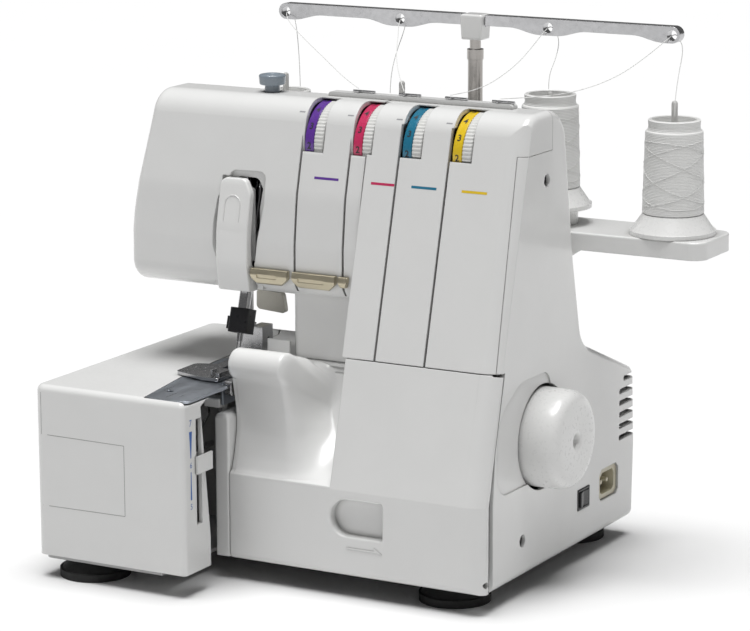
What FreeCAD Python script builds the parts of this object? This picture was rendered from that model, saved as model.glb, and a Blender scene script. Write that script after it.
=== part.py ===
import FreeCAD, Part
import os, math
from FreeCAD import Vector as V

# Overlock sewing machine. Millimetres, +Z up. X runs to the operator's right, Y to the back.
# Working datum: floor point under the front right foot; every sub-part's Placement shifts it
# so that the finished machine's origin is the bottom centre of its bounding box.

doc = FreeCAD.newDocument("overlock")
sheet = doc.addObject("Spreadsheet::Sheet", "Sizes")
CELLS = [
    ("datum_x", 67.42), ("datum_y", -51.96),
    ("wall", 2.6), ("skin_gap", 0.25),
    ("side_x", 34.0), ("arm_left_x", -234.0), ("column_left_x", -124.0), ("block_left_x", -72.0),
    ("floor_gap", 12.0), ("ledge_z", 67.0), ("seam_z", 144.0), ("bed_z", 122.5), ("top_z", 292.6),
    ("bed_left_x", -250.0), ("bed_right_x", -141.0), ("bed_front_y", -81.5), ("bed_back_y", 125.0),
    ("axle_y", 50.5), ("axle_z", 94.0), ("wheel_radius", 31.0), ("wheel_hole_radius", 32.8), ("wheel_face_x", 57.0),
    ("shaft_radius", 5.0), ("bore_radius", 5.05),
    ("foot_disc_radius", 22.0), ("foot_disc_height", 5.0), ("foot_neck_radius", 15.0), ("foot_neck_height", 7.0),
    ("dial_radius", 26.0), ("dial_width", 13.4), ("dial_y", 48.5), ("dial_z", 265.0), ("dial_pitch", 34.0), ("dial_first_x", -116.6),
    ("tray_y", 124.0), ("tray_z", 212.0), ("tray_right_x", 115.0), ("tray_left_x", -215.0), ("tray_depth", 49.0), ("tray_thick", 11.0),
    ("pin_radius", 1.95), ("pin_top_z", 294.0), ("cone_bore", 2.1),
    ("cone_top_radius", 16.2), ("cone_bottom_radius", 20.3),
    ("pole_x", -51.4), ("pole_low_radius", 4.65), ("pole_bore", 3.55), ("pole_up_radius", 3.5),
    ("bar_z", 334.0), ("bar_half", 5.6), ("bar_hole_radius", 3.3),
    ("needle_x", -159.5), ("needle_bar_radius", 3.9), ("needle_radius", 0.45),
    ("presser_x", -167.6), ("presser_y", 38.0), ("presser_radius", 3.5), ("presser_bore", 3.55),
    ("thread_radius", 0.25),
    ("knob_radius", 8.5), ("plate_thick", 1.6), ("hinge_pin_radius", 2.0), ("hinge_bore", 2.05),
    ("rocker_height", 9.5), ("small_pin_radius", 1.5), ("lift_pin_radius", 2.0),
]
S = {}
for i, (name, val) in enumerate(CELLS, 1):
    sheet.set("A%d" % i, name)
    sheet.set("B%d" % i, repr(float(val)))
    sheet.setAlias("B%d" % i, name)
    S[name] = float(val)
doc.recompute()
DX, DY = S["datum_x"], S["datum_y"]
SHIFT = FreeCAD.Placement(V(DX, DY, 0), FreeCAD.Rotation())
NODES = []
TMP = [0]


# ---------------------------------------------------------------- helpers
def rounded(pts):
    """Edges of a closed outline from corners (a, b) or (a, b, radius)."""
    n = len(pts)
    out, starts, ends = [], [], []
    for i in range(n):
        p = V(pts[i][0], pts[i][1], 0)
        r = pts[i][2] if len(pts[i]) > 2 else 0
        a = V(pts[i - 1][0], pts[i - 1][1], 0)
        b = V(pts[(i + 1) % n][0], pts[(i + 1) % n][1], 0)
        if r <= 0:
            starts.append(p); ends.append(p); out.append(None)
            continue
        u = (a - p).normalize(); w = (b - p).normalize()
        ang = u.getAngle(w)
        t = r / math.tan(ang / 2)
        t = min(t, 0.499 * (a - p).Length if len(pts[i - 1]) > 2 and pts[i - 1][2] > 0 else 0.98 * (a - p).Length,
                0.499 * (b - p).Length if len(pts[(i + 1) % n]) > 2 and pts[(i + 1) % n][2] > 0 else 0.98 * (b - p).Length)
        r = t * math.tan(ang / 2)
        s, e = p + u * t, p + w * t
        bis = (u + w).normalize()
        c = p + bis * (r / math.sin(ang / 2))
        m = c - bis * r
        starts.append(s); ends.append(e); out.append((s, m, e))
    edges = []
    for i in range(n):
        if out[i]:
            edges.append(("arc",) + out[i])
        a, b = ends[i], starts[(i + 1) % n]
        if (b - a).Length > 1e-6:
            edges.append(("line", a, b))
    return edges


def to3(v, plane):
    if plane == "YZ":
        return V(0, v.x, v.y)
    if plane == "XZ":
        return V(v.x, 0, v.y)
    return V(v.x, v.y, 0)


def wire(pts, plane="XY", at=0.0):
    es = []
    for e in rounded(pts):
        q = [to3(v, plane) for v in e[1:]]
        es.append(Part.LineSegment(*q).toShape() if e[0] == "line" else Part.Arc(*q).toShape())
    w = Part.Wire(es)
    off = {"YZ": V(at, 0, 0), "XZ": V(0, at, 0), "XY": V(0, 0, at)}[plane]
    w.translate(off)
    return w


def prism(pts, plane, a, b):
    w = wire(pts, plane, a)
    d = {"YZ": V(b - a, 0, 0), "XZ": V(0, b - a, 0), "XY": V(0, 0, b - a)}[plane]
    return Part.Face(w).extrude(d)


def box(x0, y0, z0, x1, y1, z1):
    return Part.makeBox(x1 - x0, y1 - y0, z1 - z0, V(x0, y0, z0))


def cyl(p, d, r, length):
    return Part.makeCylinder(r, length, V(*p), V(*d))


def feature(label, shape):
    o = doc.addObject("Part::Feature", label)
    o.Label = label
    if shape.ShapeType == "Compound" and len(shape.Solids) == 1:
        shape = shape.Solids[0]
    o.Shape = shape
    o.Placement = SHIFT.multiply(shape.Placement)
    NODES.append(o)
    return o


def origin_plane(body, role):
    return [f for f in body.Origin.OriginFeatures if f.Role == role][0]


def sketch_on(body, plane, loops, name):
    """loops: outlines as corner lists, or ('circle', a, b, alias)."""
    sk = body.newObject("Sketcher::SketchObject", name)
    sk.AttachmentSupport = [(origin_plane(body, plane + "_Plane"), "")]
    sk.MapMode = "FlatFace"
    for lp in loops:
        if lp[0] == "circle":
            _, a, b, alias = lp
            g = sk.addGeometry(Part.Circle(V(a, b, 0), V(0, 0, 1), S[alias]), False)
            import Sketcher
            c = sk.addConstraint(Sketcher.Constraint("Radius", g, S[alias]))
            sk.setExpression("Constraints[%d]" % c, "Sizes." + alias)
            sk.addConstraint(Sketcher.Constraint("DistanceX", -1, 1, g, 3, a)) if abs(a) > 1e-9 else sk.addConstraint(Sketcher.Constraint("PointOnObject", g, 3, -2))
            sk.addConstraint(Sketcher.Constraint("DistanceY", -1, 1, g, 3, b)) if abs(b) > 1e-9 else sk.addConstraint(Sketcher.Constraint("PointOnObject", g, 3, -1))
            continue
        for e in rounded(lp):
            if e[0] == "line":
                sk.addGeometry(Part.LineSegment(e[1], e[2]), False)
            else:
                sk.addGeometry(Part.Arc(e[1], e[2], e[3]), False)
    return sk


def padded(label, plane, loops, at, length, node=True, fillet=None):
    """PartDesign body: a sketch on an origin plane, padded towards + of the plane's axis. length is a number or a sheet expression."""
    body = doc.addObject("PartDesign::Body", label if node else "work%d" % len(doc.Objects))
    body.Label = label
    sk = sketch_on(body, plane, loops, label + "_outline")
    pad = body.newObject("PartDesign::Pad", label + "_pad")
    pad.Profile = sk
    if isinstance(length, str):
        pad.setExpression("Length", length)
    else:
        pad.Length = length
    if plane == "XZ":
        pad.Reversed = True
    off = {"YZ": V(at, 0, 0), "XZ": V(0, at, 0), "XY": V(0, 0, at)}[plane]
    body.Placement = FreeCAD.Placement(V(DX, DY, 0) + off if node else off, FreeCAD.Rotation())
    doc.recompute()
    if fillet:
        r, pick = fillet
        names = []
        for i, e in enumerate(pad.Shape.Edges, 1):
            if pick(e):
                names.append("Edge%d" % i)
        if names:
            f = body.newObject("PartDesign::Fillet", label + "_fillet")
            f.Base = (pad, names)
            f.Radius = r
            doc.recompute()
            if "Invalid" in f.State or "Error" in f.State or f.Shape.isNull() or not f.Shape.isValid():
                body.removeObject(f); doc.removeObject(f.Name)
                body.Tip = pad
                print("fillet dropped on", label)
                doc.recompute()
    if node:
        NODES.append(body)
    return body


def turned(label, pts, place, node=True):
    """PartDesign body: half outline (radius, height) on XZ, revolved about Z, then placed. place: (origin, direction)."""
    body = doc.addObject("PartDesign::Body", label)
    body.Label = label
    sk = sketch_on(body, "XZ", [pts], label + "_half")
    rev = body.newObject("PartDesign::Revolution", label + "_turn")
    rev.Profile = sk
    rev.ReferenceAxis = (sk, ["V_Axis"])
    rev.Angle = 360
    org, d = place
    rot = FreeCAD.Rotation(V(0, 0, 1), V(*d))
    body.Placement = FreeCAD.Placement(V(*org) + (V(DX, DY, 0) if node else V()), rot)
    doc.recompute()
    if node:
        NODES.append(body)
    return body


def tool(kind, at, direction=(0, 0, 1), **dims):
    o = doc.addObject("Part::" + kind, "tool")
    for k, v in dims.items():
        if isinstance(v, str):
            o.setExpression(k, v)
        else:
            setattr(o, k, v)
    o.Placement = FreeCAD.Placement(V(*at), FreeCAD.Rotation(V(0, 0, 1), V(*direction)))
    return o


def boxt(x0, y0, z0, x1, y1, z1):
    return tool("Box", (x0, y0, z0), Length=x1 - x0, Width=y1 - y0, Height=z1 - z0)


def fuse(objs):
    f = doc.addObject("Part::MultiFuse", "joined")
    f.Shapes = objs
    return f


def assemble(label, base, cuts=()):
    """Node from Part primitives: base (object or list to join) minus cuts."""
    b = fuse(base) if isinstance(base, (list, tuple)) and len(base) > 1 else (base[0] if isinstance(base, (list, tuple)) else base)
    if cuts:
        t = fuse(list(cuts)) if len(cuts) > 1 else cuts[0]
        c = doc.addObject("Part::Cut", label)
        c.Base, c.Tool = b, t
        b = c
    b.Label = label
    if not cuts and not isinstance(base, (list, tuple)):
        b.Placement = SHIFT.multiply(b.Placement)
    elif not cuts and len(base) == 1:
        b.Placement = SHIFT.multiply(b.Placement)
    else:
        b.Placement = SHIFT
    NODES.append(b)
    doc.recompute()
    return b


def group(label, objs):
    """Several separate identical pieces in one node."""
    c = doc.addObject("Part::Compound", label)
    c.Label = label
    c.Links = objs
    c.Placement = SHIFT
    NODES.append(c)
    doc.recompute()
    return c


def drop_fillet(shape, r, pick):
    es = [e for e in shape.Edges if pick(e)]
    if not es:
        return shape
    try:
        f = shape.makeFillet(r, es)
        if f.isValid() and f.Volume > 0:
            return f
    except Exception as ex:
        print("fillet", r, ex)
    good = shape
    return good


# ---------------------------------------------------------------- casing outlines (Y, Z)
FG, LZ, SZ, TZ = S["floor_gap"], S["ledge_z"], S["seam_z"], S["top_z"]
W, G = S["wall"], S["skin_gap"]
SX, AX, CX, BX = S["side_x"], S["arm_left_x"], S["column_left_x"], S["block_left_x"]
REAR = [(77.7, TZ, 22), (92.5, 200, 150), (105.8, 141.5, 22), (183.3, 110.4, 9), (186, 60, 0), (184, FG, 5)]
ARM_FRONT = [(11.5, 172, 14), (11.8, 205, 40), (15.0, 235, 60), (28.9, TZ, 17)]


def rear_in(w):
    return [(77.7 - w * 0.9, TZ - w, 20), (92.5 - w, 200, 150), (105.8 - w, 141.5 - w, 22), (183.3 - w, 110.4 - w, 7), (186 - w, 60, 0), (184 - w, FG + w, 3)]


head_block = [(-14.6, 128, 0), (-10.3, SZ, 0), (28.9, TZ, 17)] + REAR[:2] + [(101.5, 158, 0), (101.5, 128, 0)]
body_full = [(18.0, FG, 0), (18.0, 180, 0), (28.9, TZ, 17)] + REAR
arm_outer = ARM_FRONT + REAR[:1] + [(92.2, 205, 60), (94, 172, 12)]
arm_inner = [(11.5 + W, 172 + W, 12), (11.8 + W, 205, 40), (15.0 + W, 235, 60), (28.9 + W, TZ - W, 15), (77.7 - W, TZ - W, 20), (92.2 - W, 205, 60), (94 - W, 172 + W, 10)]
# front face of the block: slopes back at 14.9 degrees above the ledge
slope = (28.9 + 10.3) / (TZ - SZ)


def fy(z):
    return -10.3 + slope * (z - SZ)


block_outer = [(fy(110), 110, 0), (28.9, TZ, 17)] + REAR
block_inner = [(fy(110 - 4) + W, 106, 0), (28.9 + W, TZ - W, 15)] + rear_in(W)
# inner lower front stays behind the front cover
low_out = [(-18.5, FG, 0), (-18.5, 70, 0), (fy(110), 110, 0)]

# the arm's left end leans in towards the top
END_Z = [(-238.4, 150), (-238.4, 214, 160), (-231.0, 272, 160), (-228.0, TZ + 10), (BX + 10, TZ + 10), (BX + 10, 150)]
END_IN = [(q[0] + W, ) + tuple(q[1:]) if q[0] < -200 else q for q in END_Z]
A_out = prism(arm_outer, "YZ", AX - 8, BX - 1).common(prism(END_Z, "XZ", -20, 140))
B_out = prism([(18.0, 100, 0), (18.0, 200, 0), (60, 230, 0)] + [(92.5, 200, 0), (105.8, 141.5, 22), (183.3, 110.4, 9), (186, 60, 0), (184, FG, 5), (18.0, FG, 0)], "YZ", CX, BX + 1)
C_out = prism([(fy(SZ - 0.3), SZ - 0.3, 0), (28.9, TZ, 17)] + REAR + [(-16.5, FG, 0), (-16.5, 66, 0)], "YZ", BX, SX)
# chamfered front right corner of the block
corner = prism([(21.6, -60), (60, -60), (60, 26), (34, 12.4), ], "XY", 0, 10)
cut_a = []
base_pts = [(21.6, -0.01), (34.0, 5.6), (60, 17.4), (60, -60), (21.6, -60)]
arc_mid = V(21.6 + 16.5 * math.sin(0.42), 16.5 * (1 - math.cos(0.42)) - 0.01, 0)
sl = Part.Face(Part.Wire([Part.Arc(V(21.6, -0.01, 0), arc_mid, V(34.0, 5.6, 0)).toShape()] + [Part.LineSegment(V(*base_pts[i], 0), V(*base_pts[(i + 1) % 5], 0)).toShape() for i in (1, 2, 3, 4)]))


def corner_cut(z0, y0, z1, y1):
    """Prism that removes the front right corner between two heights, leaning with the front face."""
    f = sl.copy(); f.translate(V(0, y0, z0))
    return f.extrude(V(0, y1 - y0, z1 - z0))


C_out = C_out.cut(corner_cut(SZ - 10, fy(SZ - 10), TZ + 30, fy(TZ + 30)))
outer = A_out.fuse([B_out, C_out]).removeSplitter()


def near(v, t, e=0.3):
    return abs(v - t) < e


def end_edges(x, zmin=-1e9, ymin=-1e9, ymax=1e9):
    def pick(e):
        bb = e.BoundBox
        return near(bb.XMin, x) and near(bb.XMax, x) and bb.ZMax > zmin and bb.YMin > ymin and bb.YMax < ymax
    return pick


for rr in (6.0, 5.0, 4.0, 3.0):
    o2 = drop_fillet(outer, rr, lambda e: e.BoundBox.XMax < -226.0)
    if o2 is not outer:
        print("arm end fillet", rr)
        break
outer = o2
o2 = drop_fillet(outer, 5.0, lambda e: near(e.BoundBox.XMin, SX) and near(e.BoundBox.XMax, SX) and e.BoundBox.YMin > 25 and e.BoundBox.ZMax > 20)
outer = o2
# soft vertical corner of the column under the arm
o2 = drop_fillet(outer, 6.0, lambda e: near(e.BoundBox.XMin, CX) and near(e.BoundBox.XMax, CX) and near(e.BoundBox.YMin, 18) and near(e.BoundBox.YMax, 18) and e.BoundBox.ZLength > 20)
outer = o2
o2 = drop_fillet(outer, 2.0, lambda e: near(e.BoundBox.XMin, BX) and near(e.BoundBox.XMax, BX) and e.BoundBox.ZLength > 30 and e.BoundBox.YMax < 40 and e.BoundBox.YMin < 10)
outer = o2
A_in = prism(arm_inner, "YZ", AX - 8, BX - 1 + W).common(prism(END_IN, "XZ", -20, 140))
B_in = prism([(18.0 + W, 100, 0), (18.0 + W, 200, 0), (60, 230 - W, 0), (92.5 - W, 200, 0), (105.8 - W, 141.5 - W, 22), (183.3 - W, 110.4 - W, 7), (186 - W, 60, 0), (184 - W, -5, 0), (18.0 + W, -5, 0)], "YZ", CX + W, BX + 1 + W)
C_in = prism([(fy(SZ - 0.3) + W + .3, SZ - 0.3, 0), (28.9 + W + .3, TZ - W, 15)] + rear_in(W)[:-1] + [(184 - W, -5, 0), (-16.5 + W, -5, 0), (-16.5 + W, 66, 0)], "YZ", BX + W, SX - W)
C_in = C_in.cut(corner_cut(SZ - 10, fy(SZ - 10) + W + 1.5, TZ + 30, fy(TZ + 30) + W + 1.5))
# the arm and the head block are one space inside
link = prism(arm_inner, "YZ", BX - 2, BX + W + 2).common(prism([(fy(SZ - 0.3) + W + .3, SZ - 0.3, 0), (28.9 + W + .3, TZ - W, 15)] + rear_in(W)[:-1] + [(184 - W, -5, 0), (-16.5 + W, -5, 0), (-16.5 + W, 66, 0)], "YZ", BX - 2, BX + W + 2))
inner = A_in.fuse([B_in, C_in, link])
shell = outer.cut(inner)
print("shell", shell.isValid(), round(shell.Volume), len(shell.Solids))

# zones of the shells: the right cover starts on the rounded front corner above the seam, behind the front cover below it
CE = 5.6   # how far the chamfered corner recedes at the side face
side_lo = prism([(-30.7 + CE + 3.3, FG - 5), (-30.7 + CE + 3.3, LZ), (fy(SZ) + CE + 3.3, SZ + 0.2), (60, SZ + 0.2), (60, FG - 5)], "YZ", SX - W - 0.01, SX + 5)
side_hi = prism([(31.05, SZ + 0.2), (28.45, 269.0), (SX + 5, 269.0), (SX + 5, SZ + 0.2)], "XZ", -60, 60)
side_back = box(14.0, 60.0, FG - 5, SX + 5, 200, TZ + 10)
right_zone = side_lo.fuse([side_hi, side_back])
keep_lo = prism([(-30.7 + CE + 3.0, FG - 9), (-30.7 + CE + 3.0, LZ), (fy(SZ) + CE + 3.0, SZ + 0.1), (60 - G, SZ + 0.1), (60 - G, FG - 9)], "YZ", SX - W - G, SX + 6)
keep_hi = prism([(30.8, SZ - 0.1), (28.2, 269.0 + G), (SX + 6, 269.0 + G), (SX + 6, SZ - 0.1)], "XZ", -60, 60.0)
keep_back = box(14.0 - G, 60.0 - G, FG - 9, SX + 6, 205, TZ + 12)
right_cover_s = shell.common(right_zone)
rest = shell.cut(keep_lo.fuse([keep_hi, keep_back]))
SEAM_L = 133.6
head_zone = prism([(-60, SZ + 0.2), (17.0, SZ + 0.2), (17.0, SEAM_L), (60, SEAM_L), (60, 320), (-60, 320)], "YZ", -250, SX + 6)
head_s = rest.common(head_zone)
end_in = [(22.0, 182.5, 8), (22.0, 205, 30), (25.5, 235, 30), (37.0, 281.5, 8), (72.0, 281.5, 9), (80.5, 205, 30), (82.0, 182.5, 6)]
end_gap = [(q[0] + (-G if q[0] < 50 else G), q[1] + (-G if q[1] < 190 else (G if q[1] > 270 else 0)), q[2]) for q in end_in]
end_s = rest.common(prism(end_in, "YZ", -250, -225.5))
rear_zone = box(-250, 60 + G, FG - 5, SX + 6, 260, 330).fuse([box(-130, 17.9, FG - 5, BX - 0.5, 61.0, SEAM_L - G)])
rear_s = rest.common(rear_zone)
head_s = head_s.cut([prism(end_gap, "YZ", -250, -225.5)])
rear_s = rear_s.cut([prism(end_gap, "YZ", -250, -225.5)])
# fixed bed behind the needle plate, moulded with the rear cover
bed_back = prism([(-184.4, 36.0), (-189.4, 112.0), (-196.0, 125.0), (CX + 1.0, 125.0), (CX + 1.0, 36.0)], "XY", 119.6, S["bed_z"])
bed_wall = box(-196.0, 122.4, FG + 2.8, CX + 1.0, 125.0, 120.0).fuse(box(-222.4, 122.7, FG + 2.8, -195.9, 125.0, S["bed_z"]))
rear_s = rear_s.fuse([bed_back, bed_wall])
rear_s = rear_s.cut([box(CX - 3, 36, FG + 1, CX + 4.0, 73, 104)])
print("pieces", [(n, q.isValid(), len(q.Solids), round(q.Volume)) for n, q in (("right", right_cover_s), ("head", head_s), ("end", end_s), ("rear", rear_s))])


def biggest(s):
    so = sorted(s.Solids, key=lambda q: -q.Volume)
    return so[0]


right_cover_s, head_s, end_s, rear_s = biggest(right_cover_s), biggest(head_s), biggest(end_s), biggest(rear_s)

# --- head cover details
DW, DR, DYY, DZZ = S["dial_width"], S["dial_radius"], S["dial_y"], S["dial_z"]
dial_x = [S["dial_first_x"] + i * S["dial_pitch"] for i in range(4)]
cuts = []
for x0 in dial_x:
    slot = box(x0 - 0.5, 0, 263.6, x0 + DW + 0.5, 46, 299).common(cyl((x0 - 0.5, DYY, DZZ), (1, 0, 0), DR + 12, DW + 1.0))
    cuts.append(slot)
    cuts.append(cyl((x0 - 0.5, DYY, DZZ), (1, 0, 0), DR + 1.0, DW + 1.0))
    # thread channel: narrow slit from the dial down to the lower edge
    cuts.append(box(x0 - 1.9, -40, 120, x0 - 0.5, 40, 283) if x0 > BX else box(x0 - 1.9, -40, 176, x0 - 0.5, 24, 283))
head_s = head_s.cut(cuts)
# take-up lever channel in the arm's front
LX0, LX1 = -172.5, -146.8
pk = [(-166.5, 250.0, 3), (-139.0, 250.5, 5), (-139.5, 229, 20), (-144.0, 206, 25), (-146.4, 187, 5), (-173.2, 187, 5), (-177.6, 199, 10), (-177.8, 214, 20), (-175.6, 231, 8), (-170.5, 239, 4)]
pk_c = (-158.5, 216.0)


def pocket(grow, y0, y1, g0, g1):
    """Tapering plug of the thumb pocket between two depths."""
    ws = []
    flat = wire(pk, "XZ", 0.0).discretize(Number=57)[:-1]
    for y, g in ((y0, g0 + grow), (y1, g1 + grow)):
        q = [V(pk_c[0] + (v.x - pk_c[0]) * (1 + g / 20.0), y, pk_c[1] + (v.z - pk_c[1]) * (1 + g / 32.0)) for v in flat]
        ws.append(Part.makePolygon(q + [q[0]]))
    return Part.makeLoft(ws, True, True)


try:
    back = pocket(2.6, 13.4, 21.3, -0.5, -0.5)
    plug = pocket(0.0, 6.0, 19.5, 0.6, -2.6)
    print("pocket", back.isValid(), plug.isValid(), round(back.Volume), round(plug.Volume))
    back = back.common(prism([(fyy, zz, 0) for fyy, zz in ((13.2, 184.5), (13.2, 210), (16.6, 235), (22.0, 254), (40, 254), (40, 184.5))], "YZ", -200, -120))
    head_s = head_s.fuse([back]).cut([plug])
except Exception as ex:
    print("pocket failed", ex)
head_s = head_s.cut([box(LX0, -20, 165, LX1, 30.0, 191.0)])
# opening beside and above the lever
head_s = head_s.cut([prism([(-161, 243.6, 0), (-147.5, 243.6, 4), (-144.4, 237, 3), (-147.0, 224, 3), (-147.0, 189, 0), (-151, 189, 0), (-151, 236, 0), (-161, 242.0, 0)], "XZ", 12, 24)])
# slots for needle bar, presser bar and lifter through the arm's underside
head_s = head_s.cut([box(-165.5, 5, 165, -153.5, 33, 180), box(-172.4, 32.5, 165, -162.8, 43, 180)])
# pressure knob bore and pole/strip seats
KX, KY = -156.5, 52.0
head_s = head_s.cut([cyl((KX, KY, 280), (0, 0, 1), 5.4, 30)])
# lugs that carry the take-up lever's pin
LVY, LVZ = 19.0, 178.5
head_s = biggest(head_s.cut([box(-172.0, -20, 188.0, -147.6, 19.2, 244.0)]))
lugs = [box(LX0 - 4.6, 14.6, 174.4, LX0 - 0.4, 23, 184), box(LX1 + 0.4, 14.6, 174.4, LX1 + 4.6, 23, 184)]
head_s = head_s.fuse(lugs).cut([cyl((LX0 - 4.0, LVY, LVZ), (1, 0, 0), S["small_pin_radius"], LX1 - LX0 + 8.0)])
head_s = biggest(head_s)
rear_s = rear_s.cut([box(-180, 59, 165, -150, 75, 180)])
rear_s = rear_s.cut([box(-72, 95, 195, -31, 130, 214)])
rear_s = biggest(rear_s)

# --- right cover details
ay, az = S["axle_y"], S["axle_z"]
rc = right_cover_s
rc = rc.cut([cyl((SX - 8, ay, az), (1, 0, 0), S["wheel_hole_radius"], 20)])
for (hy, hz) in ((52.8, 251.5), (22.9, 35.0)):
    rc = rc.cut([cyl((SX - 8, hy, hz), (1, 0, 0), 3.9, 20)])
rc = rc.cut([box(SX - 12, 99.5, 34.5, SX + 8, 116.5, 48.2)])
inlet_out = [(131, 36, 0), (134, 33, 0), (156.5, 33, 0), (159.5, 36, 0), (159.5, 50, 0), (156, 53.5, 0), (134.5, 53.5, 0), (131, 50, 0)]
rc = rc.cut([prism(inlet_out, "YZ", SX - 12, SX + 8)])
vents = []
for i in range(6):
    z = 108.0 - i * 7.6
    y0 = 160.0 + (0 if i else 6)
    vents.append(prism([(y0, z - 3.4, 1.2), (215, z - 3.4, 0), (215, z, 0), (y0, z, 1.2)], "YZ", SX - 12.5, SX + 8))
rc = rc.cut(vents)
rc = biggest(rc)
# thumb scoop beside the wheel: a shallow dish
dish = prism([(-12.5, 69, 14), (-10, 118, 26), (20, 134, 24), (60, 134, 10), (60, 69, 10)], "YZ", SX - 0.9, SX + 3)
rc = biggest(rc.cut([dish]))

feature("head_cover", head_s)
feature("right_cover", rc)
feature("rear_cover", rear_s)
feature("arm_end_cover", end_s)

# ---------------------------------------------------------------- front cover (slides right, folds down)
FX0 = -140.4
fo = prism([(-30.7, FG + 1.5, 4), (-30.7, LZ, 2), (fy(SZ - 0.6), SZ - 0.4, 0), (30, SZ - 0.4, 0), (30, FG + 1.5, 0)], "YZ", FX0, SX)
fo = fo.cut(corner_cut(-10, -30.7, LZ, -30.7))
f2 = sl.copy(); f2.translate(V(0, -30.7, LZ))
fo = fo.cut(f2.extrude(V(0, fy(SZ) + 30.7, SZ - LZ)))
scoop = prism([(-31.6, LZ + 0.4, 0), (-22, 74, 30), (-2, 92, 40), (15.0, 118, 60), (17.2, SZ + 20, 0), (-60, SZ + 20, 0), (-60, LZ + 0.4, 0)], "YZ", FX0 - 1, -69.5)
fo = fo.cut(scoop)
fi = prism([(-30.7 + W, FG - 5, 0), (-30.7 + W, LZ - 0.5, 2), (fy(SZ) + W + 0.2, SZ + 5, 0), (60, SZ + 5, 0), (60, FG - 5, 0)], "YZ", BX + W + 2.5, SX - W)
fi = fi.cut(corner_cut(-10, -30.7 + W + 1.2, LZ, -30.7 + W + 1.2))
f3 = sl.copy(); f3.translate(V(0, -30.7 + W + 1.2, LZ))
fi = fi.cut(f3.extrude(V(0, fy(SZ) + 30.7, SZ - LZ)))
fo = fo.cut(fi)
fi2 = prism([(-30.7 + W, FG - 5, 0), (-30.7 + W, LZ - 2, 0), (-22 + 1.5, 74 - 2.4, 30), (-2 + 1.8, 92 - 2, 40), (15.0 + 0.2, 118 - 3.5, 60), (15.2, SZ - 13, 0), (60, SZ - 13, 0), (60, FG - 5, 0)], "YZ", FX0 + W, BX + W + 3.2)
fo = fo.cut(fi2)
fo = fo.cut(box(BX + W + 2.6, 4, 0, SX + 5, 80, 200))
inner_side = prism([(-30.7 + CE + 3.0, -5), (-30.7 + CE + 3.0, LZ), (fy(SZ) + CE + 3.0, SZ + 5), (60, SZ + 5), (60, -5)], "YZ", SX - W - 10.0, SX + 5)
fo = fo.cut(inner_side)
fo = fo.cut(box(FX0 - 2, 17.6, 0, SX + 5, 80, 200))
# rounded guard roll over the looper area
RX0 = -142.4
roll = cyl((RX0, -20.5, 135.3), (1, 0, 0), 9.8, 40)
try:
    roll = roll.makeFillet(4.0, [e for e in roll.Edges if near(e.BoundBox.XMin, RX0) and near(e.BoundBox.XMax, RX0)])
    roll = roll.makeFillet(6.0, [e for e in roll.Edges if near(e.BoundBox.XMin, RX0 + 40) and near(e.BoundBox.XMax, RX0 + 40)])
except Exception as ex:
    print("roll fillet", ex)
web = prism([(-20.5, 127.0, 0), (-20.5, 144.4, 0), (-8.0, 141.0, 10), (17.2, 133.0, 0), (17.2, 126.0, 0)], "YZ", -122.6, -104)
web2 = prism([(-26.0, 127.0, 0), (-22.0, 108.0, 0), (-21.2, 95.0, 20), (-25.0, 78.0, 10), (-29.0, LZ, 0), (-26.0, LZ, 0), (-18.5, 95.0, 20), (-18.0, 127.0, 0)], "YZ", FX0, -106)
roll_zone = web.fuse([web2])
fo = biggest(fo)
fo = fo.fuse([roll, roll_zone.common(box(-200, -60, 0, 0, 17.2, SEAM_L - 0.4 + 40))])
fo = fo.cut(box(CX - 0.4, 2.0, SEAM_L - 0.5, SX, 80, 200).cut(box(BX - 0.5, -60, 0, SX, 17, 200)))
# the upper rear edge clears the head while the cover folds
HY, HZ = -24.4, 19.5
fo = fo.cut(box(BX - 2, -8.5, 125, SX + 2, 40, 150).cut(cyl((BX - 5, HY, HZ), (1, 0, 0), 124.2, 130)))
fo = biggest(fo)
# finger recess and raised arrow
fr = prism([(-69.5, 38.5, 11.4), (-69.5, 61.5, 11.4), (-33.8, 61.5, 1.5), (-33.8, 38.5, 1.5)], "XZ", -32, -24.0)
fr_shell = prism([(-71.6, 36.4, 12.5), (-71.6, 63.6, 12.5), (-31.7, 63.6, 3), (-31.7, 36.4, 3)], "XZ", -30.0, -22.4)
fo = fo.fuse([fr_shell]).cut([fr])
fo2 = drop_fillet(fo, 1.5, lambda e: near(e.BoundBox.YMin, -30.7, 0.02) and near(e.BoundBox.YMax, -30.7, 0.02) and e.BoundBox.ZMin > 36 and e.BoundBox.ZMax < 64 and e.BoundBox.XMin > -72 and e.BoundBox.XMax < -31)
print("recess fillet", fo2 is not fo)
fo = fo2
arrow = prism([(-58, 32.2), (-39, 32.2), (-39, 34.2), (-33.5, 30.6), (-36, 30.6), (-36, 31.2), (-58, 31.2)], "XZ", -31.1, -30.0)
fo = fo.fuse([arrow])
fo = biggest(fo)
# hinge knuckles along the lower edge take the rod
HY, HZ = -24.4, 19.5
kn = []
for x0 in (-120, -50, 10):
    kn.append(cyl((x0, HY, HZ), (1, 0, 0), 4.4, 12).fuse([box(x0, -29.5, HZ - 3, x0 + 12, HY, HZ + 3)]))
fo = fo.fuse(kn).cut([cyl((-140, HY, HZ), (1, 0, 0), S["hinge_bore"], 200)])
fo = biggest(fo.cut(box(-150, -13.2, 0, 40, 30, FG + 2.9)))
print("front cover", fo.isValid(), round(fo.Volume))
feature("front_cover", fo)
assemble("front_cover_hinge_rod", tool("Cylinder", (-124.0, HY, HZ), (1, 0, 0), Radius="Sizes.hinge_pin_radius", Height=150.0))

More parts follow.
